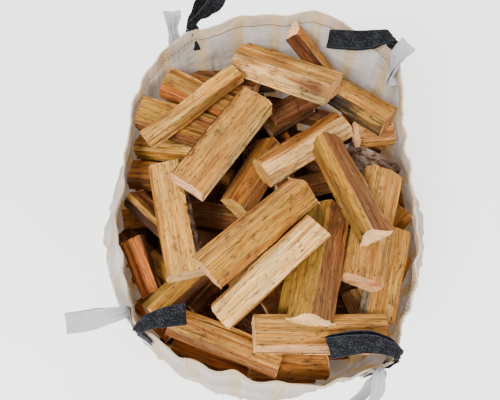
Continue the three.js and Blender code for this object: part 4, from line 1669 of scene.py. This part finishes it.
@dataclass(frozen=True)
class WebbingLoop:
    """One lifting loop: a folded length of webbing sewn down a corner of the bag.

    The way lists x, y and height from where the loop crosses the mouth's edge, then the lean of the
    webbing's width, in millimetres, and the gap between its two plies.
    """

    node: str
    corner: tuple[float, float]
    degrees: float
    way: tuple[tuple[float, ...], ...]
    wide: float = 50 * MM
    thick: float = 1.9 * MM
    sewn: float = 85 * MM
    gathered: float = 0.55
    steps: int = 46
    turns: int = 8

    def stations(self, wall: BagWall, cloth: BVHTree) -> list[tuple[np.ndarray, np.ndarray, float, float]]:
        """Lists the places that the loop's middle line passes.

        Args:
            wall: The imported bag's wall.
            cloth: The finished cloth.

        Returns:
            Place, lean of the width, gap and width of each, all in metres.
        """
        angle = math.atan2(self.corner[1], self.corner[0]) + math.radians(self.degrees)
        half = math.asin(self.wide / 2 / WALL_RADIUS)
        edge = wall.height(angle)
        rows = []
        on_cloth = ((self.sewn, 4, 1), (self.sewn / 2, 4, 1), (8 * MM, 4, 0.8), (-20 * MM, 8, self.gathered))
        for below, gap, share in on_cloth:
            sides = []
            for turn in (angle - half, angle + half):
                way = Vector((math.cos(turn), math.sin(turn), 0))
                start = Vector((0, wall.middle, min(edge - below, edge - 10 * MM)))
                hit = cloth.ray_cast(start + way * 0.9, -way)[0]
                reach = (hit - start).xy.length if hit is not None else wall.radius(turn, edge - 10 * MM)
                place = start + way * (reach + 6.5 * MM)
                place.z = edge - below
                sides.append(np.array(place))
            across = sides[1] - sides[0]
            across = across / np.linalg.norm(across)
            rows.append(((sides[0] + sides[1]) / 2, across, gap * MM, share * self.wide))
        cross = rows[-1][0]
        for i, (x, y, z, lean_x, lean_y, lean_z, gap) in enumerate(self.way):
            lean = np.array([lean_x, lean_y, lean_z])
            lean = lean / np.linalg.norm(lean)
            share = min(self.gathered + i * 0.2, 1)
            rows.append((cross + np.array([x, y, z]) * MM, lean, gap * MM, share * self.wide))
        return rows

    def spine(self, wall: BagWall, cloth: BVHTree) -> list[tuple[np.ndarray, ...]]:
        """Draws the smooth line between the plies.

        Args:
            wall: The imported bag's wall.
            cloth: The finished cloth.

        Returns:
            Place, direction, width's direction, face, gap and width at even steps.
        """
        rows = self.stations(wall, cloth)
        count = len(rows)
        places = np.array([row[0] for row in rows])
        padded = np.vstack([2 * places[0] - places[1], places, 2 * places[-1] - places[-2]])
        line = []
        for i in range(self.steps + 1):
            t = i / self.steps * (count - 1)
            k = min(int(t), count - 2)
            s = t - k
            a, b, c, d = padded[k : k + 4]
            at = b + 0.5 * s * (c - a + s * (2 * a - 5 * b + 4 * c - d + s * (3 * (b - c) + d - a)))
            ease = s * s * (3 - 2 * s)
            lean = rows[k][1] * (1 - s) + rows[k + 1][1] * s
            gap = rows[k][2] * (1 - ease) + rows[k + 1][2] * ease
            wide = rows[k][3] * (1 - ease) + rows[k + 1][3] * ease
            line.append((at, lean, gap, wide))
        ats = np.array([row[0] for row in line])
        ways = np.gradient(ats, axis=0)
        steps = []
        for (at, lean, gap, wide), way in zip(line, ways):
            way = way / np.linalg.norm(way)
            face = np.cross(way, lean)
            face /= np.linalg.norm(face)
            steps.append((at, way, np.cross(face, way), face, gap, wide))
        return steps

    def build(self, finish: bpy.types.Material, wall: BagWall, cloth: BVHTree) -> bpy.types.Object:
        """Makes the loop.

        Args:
            finish: The webbing material.
            wall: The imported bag's wall.
            cloth: The finished cloth.

        Returns:
            The piece.
        """
        steps = self.spine(wall, cloth)
        sections = [(step, 0.0) for step in steps]
        sections += [(steps[-1], math.pi * i / self.turns) for i in range(1, self.turns)]
        sections += [(step, math.pi) for step in reversed(steps)]
        piece, across, up = new_grid(self.node.replace("loop", "webbing"), 12, len(sections) - 1)
        middles = []
        for (at, way, lean, face, gap, wide), turn in sections:
            inward = face * math.cos(turn) - way * math.sin(turn)
            middles.append((at - inward * gap / 2, lean, inward, wide))
        lengths = np.cumsum([0.0] + [
            float(np.linalg.norm(b[0] - a[0])) for a, b in zip(middles, middles[1:])
        ])
        rows = np.rint(up * (len(sections) - 1)).astype(int)
        side = across * 2 - 1
        points = np.zeros((len(up), 3))
        band = np.zeros((len(up), 3))
        seed = sum(ord(c) for c in self.node)
        ripple = Waves(seed, (0.05, 0.03, 1.0), 6)
        for i, row in enumerate(rows):
            at, lean, inward, wide = middles[row]
            squeeze = 1 - wide / self.wide
            pucker = math.sin(side[i] * 8.5) * 3.4 * MM * squeeze
            points[i] = at + lean * side[i] * wide / 2 + inward * (pucker - side[i] ** 2 * 0.7 * MM)
            band[i] = (lengths[row], side[i] * self.wide / 2, 0)
        inwards = np.array([middles[row][2] for row in rows])
        points += inwards * (ripple.at(band) * 0.9 * MM)[:, None]
        mesh = piece.data
        place_vertices(mesh, points)
        write_attribute(mesh, "band", "FLOAT_VECTOR", "POINT", band)
        apply_modifier(piece, "SOLIDIFY", thickness=self.thick, offset=0.0)
        apply_modifier(piece, "BEVEL", width=0.5 * MM, segments=1, angle_limit=math.radians(60))
        mesh.materials.append(finish)
        bpy.ops.object.shade_smooth_by_angle(angle=math.radians(50))
        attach(piece, "root")
        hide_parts(self.node)
        LOG.info("%s is %.0f mm long", piece.name, lengths[-1] * 1000)
        return piece


LOOPS = (
    WebbingLoop("loop_black_back_left", BACK_LEFT, -3.2, (
        (12, 4, 26, -0.75, -0.55, 0.2, 16), (36, 13, 54, -0.65, -0.3, 0.6, 44),
        (62, 25, 79, -0.55, -0.1, 0.8, 58))),
    WebbingLoop("loop_white_back_left", BACK_LEFT, 3.2, (
        (0, 2, 22, -0.8, -0.5, 0.2, 8), (2, 6, 46, -0.85, -0.4, 0.2, 14), (4, 9, 66, -0.85, -0.3, 0.2, 14))),
    WebbingLoop("loop_black_back_right", BACK_RIGHT, 3.2, (
        (-10, -3, 20, -0.7, 0.65, 0.3, 10), (-34, -10, 30, -0.45, 0.8, 0.4, 18),
        (-66, -13, 19, -0.3, 0.9, 0.4, 21), (-104, -4, 1, -0.2, 0.9, 0.4, 21),
        (-150, 9, -16, -0.15, 0.9, 0.4, 18), (-172, 14, -22, -0.15, 0.9, 0.4, 14))),
    WebbingLoop("loop_white_back_right", BACK_RIGHT, -3.2, (
        (-4, 2, 26, -0.5, 0.85, 0.05, 10), (0, 8, 56, -0.65, 0.7, 0.15, 16),
        (14, 14, 84, -0.75, 0.55, 0.3, 16))),
    WebbingLoop("loop_white_front_left", FRONT_LEFT, -3.2, (
        (-5, -9, 22, 0.4, -0.9, 0, 12), (-30, -20, 30, 0.3, -0.9, -0.2, 20),
        (-66, -31, 22, 0.2, -0.9, -0.4, 20), (-104, -37, -2, 0.1, -0.9, -0.42, 18),
        (-138, -41, -22, 0.1, -0.9, -0.42, 14))),
    WebbingLoop("loop_black_front_left", FRONT_LEFT, 3.2, (
        (10, 8, 18, 0.75, -0.65, -0.1, 8), (34, 22, 32, 0.5, -0.85, -0.2, 16),
        (72, 36, 36, 0.25, -0.9, -0.3, 16), (102, 46, 30, 0.2, -0.9, -0.3, 14))),
    WebbingLoop("loop_black_front_right", FRONT_RIGHT, 3.2, (
        (-12, 5, 22, 0.72, 0.6, 0.35, 12), (-40, 13, 34, 0.5, 0.7, 0.5, 18),
        (-78, 15, 36, 0.25, 0.75, 0.6, 18), (-118, 8, 31, 0.05, 0.8, 0.6, 18),
        (-160, -4, 20, -0.1, 0.85, 0.5, 14))),
    WebbingLoop("loop_white_front_right", FRONT_RIGHT, -3.2, (
        (-4, -12, 18, 0.8, 0.58, 0, 20), (-14, -44, 12, 0.83, 0.5, 0, 26), (-28, -70, -36, 0.92, 0.35, 0, 24),
        (-34, -80, -80, 0.95, 0.3, 0, 24), (-37, -86, -116, 0.95, 0.3, 0, 18))),
)


@dataclass
class Sewing:
    """The thread: rows of stitches along the hem, and loose ends at the corners."""

    wall: BagWall
    cloth: BVHTree
    stitch: float = 7.5 * MM
    pitch: float = 11 * MM
    thread: float = 1.1 * MM
    loose_thread: float = 0.9 * MM
    mouth_radius: float = 0.48
    start_outside: float = 0.9
    start_inside: float = 0.03
    look_length: float = 0.6
    widest_step: float = 0.02
    above_cloth_mm: float = 0.35
    ends_at_corner: int = 9

    def build(self, finish: bpy.types.Material) -> bpy.types.Object:
        """Sews every row into one piece.

        Args:
            finish: The thread material.

        Returns:
            The piece.
        """
        places = []
        for below in (9 * MM, 38 * MM):
            places += self.row(below, outside=True)
            places += self.row(below, outside=False)
        mould = self.make_stitch()
        stitches = []
        for at, along, face in places:
            stitch = copy_piece(mould)
            side = face.cross(along).normalized()
            turn = Matrix((along, side, face)).transposed().to_4x4()
            stitch.data.transform(Matrix.Translation(at) @ turn)
            stitches.append(stitch)
        bpy.data.objects.remove(mould)
        piece = join_pieces(stitches + self.loose_ends(), "sewing_thread")
        piece.data.materials.clear()
        piece.data.materials.append(finish)
        bpy.ops.object.shade_smooth()
        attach(piece, "root")
        LOG.info("sewed %d stitches", len(stitches))
        return piece

    def make_stitch(self) -> bpy.types.Object:
        """Models one stitch as a short thread whose ends dip into the cloth.

        Returns:
            The stitch, along x at the origin.
        """
        def lengthwise(edge: bpy.types.MeshEdge, mesh: bpy.types.Mesh) -> bool:
            """Tells whether an edge runs along the stitch."""
            a, b = (mesh.vertices[v].co for v in edge.vertices)
            return abs(a.x - b.x) > self.stitch / 2

        deselect()
        bpy.ops.mesh.primitive_cylinder_add(
            vertices=6, radius=self.thread / 2, depth=self.stitch, end_fill_type="NGON"
        )
        stitch = bpy.context.object
        pick(stitch)
        stitch.data.transform(Matrix.Rotation(math.pi / 2, 4, "Y"))
        select_where(stitch, "EDGE", lengthwise)
        bpy.ops.mesh.subdivide(number_cuts=2)
        bpy.ops.object.mode_set(mode="OBJECT")
        points = coordinates(stitch.data)
        points[:, 2] -= (points[:, 0] / self.stitch * 2) ** 4 * self.thread
        place_vertices(stitch.data, points)
        return stitch

    def row(self, below: float, outside: bool) -> list[tuple[Vector, Vector, Vector]]:
        """Finds the stitches of one row round the mouth.

        Args:
            below: Depth of the row under the edge, in metres.
            outside: True for the outer face of the cloth.

        Returns:
            Place, direction and face of each stitch.
        """
        count = int(2 * math.pi * self.mouth_radius / self.pitch)
        hits = []
        for i in range(count * 2):
            angle = i / (count * 2) * 2 * math.pi
            way = Vector((math.cos(angle), math.sin(angle), 0))
            z = self.wall.height(angle) - below
            if outside:
                start, look = Vector((0, self.wall.middle, z)) + way * self.start_outside, -way
            else:
                reach = self.wall.radius(angle, z) - self.start_inside
                start, look = Vector((0, self.wall.middle, z)) + way * reach, way
            hit, normal, _, _ = self.cloth.ray_cast(start, look, self.look_length)
            hits.append((hit, normal))
        places = []
        for i in range(0, count * 2, 2):
            (a, face), (b, _) = hits[i], hits[(i + 1) % len(hits)]
            if a is None or b is None or (b - a).length > self.widest_step:
                continue
            along = (b - a).normalized()
            face = (face - along * face.dot(along)).normalized()
            places.append(((a + b) / 2 + face * self.above_cloth_mm * MM, along, face))
        return places

    def loose_ends(self) -> list[bpy.types.Object]:
        """Hangs a few loose thread ends at every corner.

        Returns:
            One piece for each thread.
        """
        draw = np.random.default_rng(5)
        ends = []
        for corner in WovenBag.corner_angles:
            for _ in range(self.ends_at_corner):
                angle = corner + draw.uniform(-0.05, 0.05)
                way = np.array([math.cos(angle), math.sin(angle), 0.0])
                z = self.wall.height(angle)
                reach = self.wall.radius(angle, z - 0.012)
                at = way * (reach + 0.004) + np.array([0, self.wall.middle, z + draw.uniform(-0.02, 0.012)])
                push = way * draw.uniform(0.2, 1.0) + draw.normal(0, 0.6, 3)
                length = draw.uniform(0.025, 0.06)
                path = []
                for k in range(8):
                    t = k / 7
                    drop = np.array([0, 0, -0.9 * t * t * length])
                    path.append(at + push * t * length * 0.6 + drop + draw.normal(0, 0.0012, 3) * (k > 0))
                ends.append(self.string(path))
        return ends

    def string(self, path: Iterable[np.ndarray]) -> bpy.types.Object:
        """Makes a thin thread along a path and turns it into a mesh.

        Args:
            path: The points that it passes.

        Returns:
            The piece.
        """
        path = list(path)
        curve = bpy.data.curves.new("loose_thread", "CURVE")
        curve.dimensions = "3D"
        curve.bevel_depth = self.loose_thread / 2
        curve.bevel_resolution = 0
        curve.use_fill_caps = True
        spline = curve.splines.new("POLY")
        spline.points.add(len(path) - 1)
        for point, at in zip(spline.points, path):
            point.co = (*at, 1.0)
        piece = bpy.data.objects.new("loose_thread", curve)
        bpy.context.scene.collection.objects.link(piece)
        pick(piece)
        bpy.ops.object.convert(target="MESH")
        return bpy.context.object


@dataclass(frozen=True)
class Lamp:
    """A soft square light: its place and side in metres, and its power in watts."""

    name: str
    at: Point
    power: float
    side: float


@dataclass
class Studio:
    """A pale floor, soft lights and the camera, looking steeply down into the bag."""

    camera_at: Point = (33 * MM, -576 * MM, 1974 * MM)
    look_at: Point = (-42 * MM, -10 * MM, 750 * MM)
    lens: float = 35.3
    floor_side: float = 14
    floor_glow: float = 0.9
    sky: float = 1.15
    lit_at: Point = (0, 0, 0.6)
    lamps: tuple[Lamp, ...] = (
        Lamp("key", (-1.3, -2.8, 4.4), 420, 1.3),
        Lamp("fill", (3.4, -1.6, 3.6), 110, 2.4),
        Lamp("back", (0.4, 3.6, 3.6), 90, 2.4),
    )

    def place_camera(self) -> None:
        """Creates the camera at the photograph's viewing angle."""
        data = bpy.data.cameras.new("camera")
        data.lens = self.lens
        data.sensor_width = 36.0
        data.sensor_fit = "HORIZONTAL"
        camera = bpy.data.objects.new("camera", data)
        camera.location = self.camera_at
        aim = Vector(self.look_at) - Vector(self.camera_at)
        camera.rotation_euler = aim.to_track_quat("-Z", "Y").to_euler()
        bpy.context.scene.collection.objects.link(camera)
        bpy.context.scene.camera = camera

    def light(self) -> None:
        """Lays the floor and hangs the lights."""
        deselect()
        bpy.ops.mesh.primitive_plane_add(size=self.floor_side, location=(0, 0, -0.5 * MM))
        floor = bpy.context.object
        floor.name = "floor"
        material = bpy.data.materials.new("pale_studio_floor")
        material.use_nodes = True
        shader = material.node_tree.nodes["Principled BSDF"]
        shader.inputs["Base Color"].default_value = linear("#F4F3F1")
        shader.inputs["Roughness"].default_value = 0.9
        shader.inputs["Emission Color"].default_value = linear("#FFFFFF")
        shader.inputs["Emission Strength"].default_value = self.floor_glow
        floor.data.materials.append(material)
        world = bpy.data.worlds.new("studio")
        bpy.context.scene.world = world
        world.use_nodes = True
        sky = world.node_tree.nodes["Background"].inputs
        sky["Color"].default_value = (1, 1, 1, 1)
        sky["Strength"].default_value = self.sky
        for lamp in self.lamps:
            self.hang(lamp)

    def hang(self, lamp: Lamp) -> None:
        """Hangs one light, aimed at the logs.

        Args:
            lamp: The light's place, side and power.
        """
        data = bpy.data.lights.new(lamp.name, "AREA")
        data.energy = lamp.power
        data.size = lamp.side
        hung = bpy.data.objects.new(lamp.name, data)
        hung.location = lamp.at
        aim = Vector(self.lit_at) - Vector(lamp.at)
        hung.rotation_euler = aim.to_track_quat("-Z", "Y").to_euler()
        bpy.context.scene.collection.objects.link(hung)


def cloth_tree(piece: bpy.types.Object) -> BVHTree:
    """Returns a search tree of a piece's faces, in the shared frame."""
    mesh = piece.data
    faces = [polygon.vertices[:] for polygon in mesh.polygons]
    return BVHTree.FromPolygons([vertex.co.copy() for vertex in mesh.vertices], faces)


def main() -> None:
    """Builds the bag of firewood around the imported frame."""
    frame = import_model()
    slots = {part["node"]: part["material_slot"] for part in frame["record"]["subparts"]}
    studio = Studio()
    studio.place_camera()
    studio.light()
    beech = (BeechFace().make(), BeechEnd().make(), BeechBark().make())
    wall = BagWall()
    TopLogs().build(beech, slots)
    LowerHeap().build(beech, wall)
    WedgedLogs().build(beech, wall)
    bag = WovenBag(wall).build(WovenTape().make())
    cloth = cloth_tree(bag)
    black = Webbing("black_webbing", "#09090B", "#6E737E").make()
    white = Webbing("white_webbing", "#A09FA1", "#D2D0CF").make()
    for loop in LOOPS:
        loop.build(black if "black" in loop.node else white, wall, cloth)
    Sewing(wall, cloth).build(Thread().make())
    deselect()


if __name__ == "__main__":
    logging.basicConfig(level=logging.INFO, format="%(name)s: %(message)s")
    main()
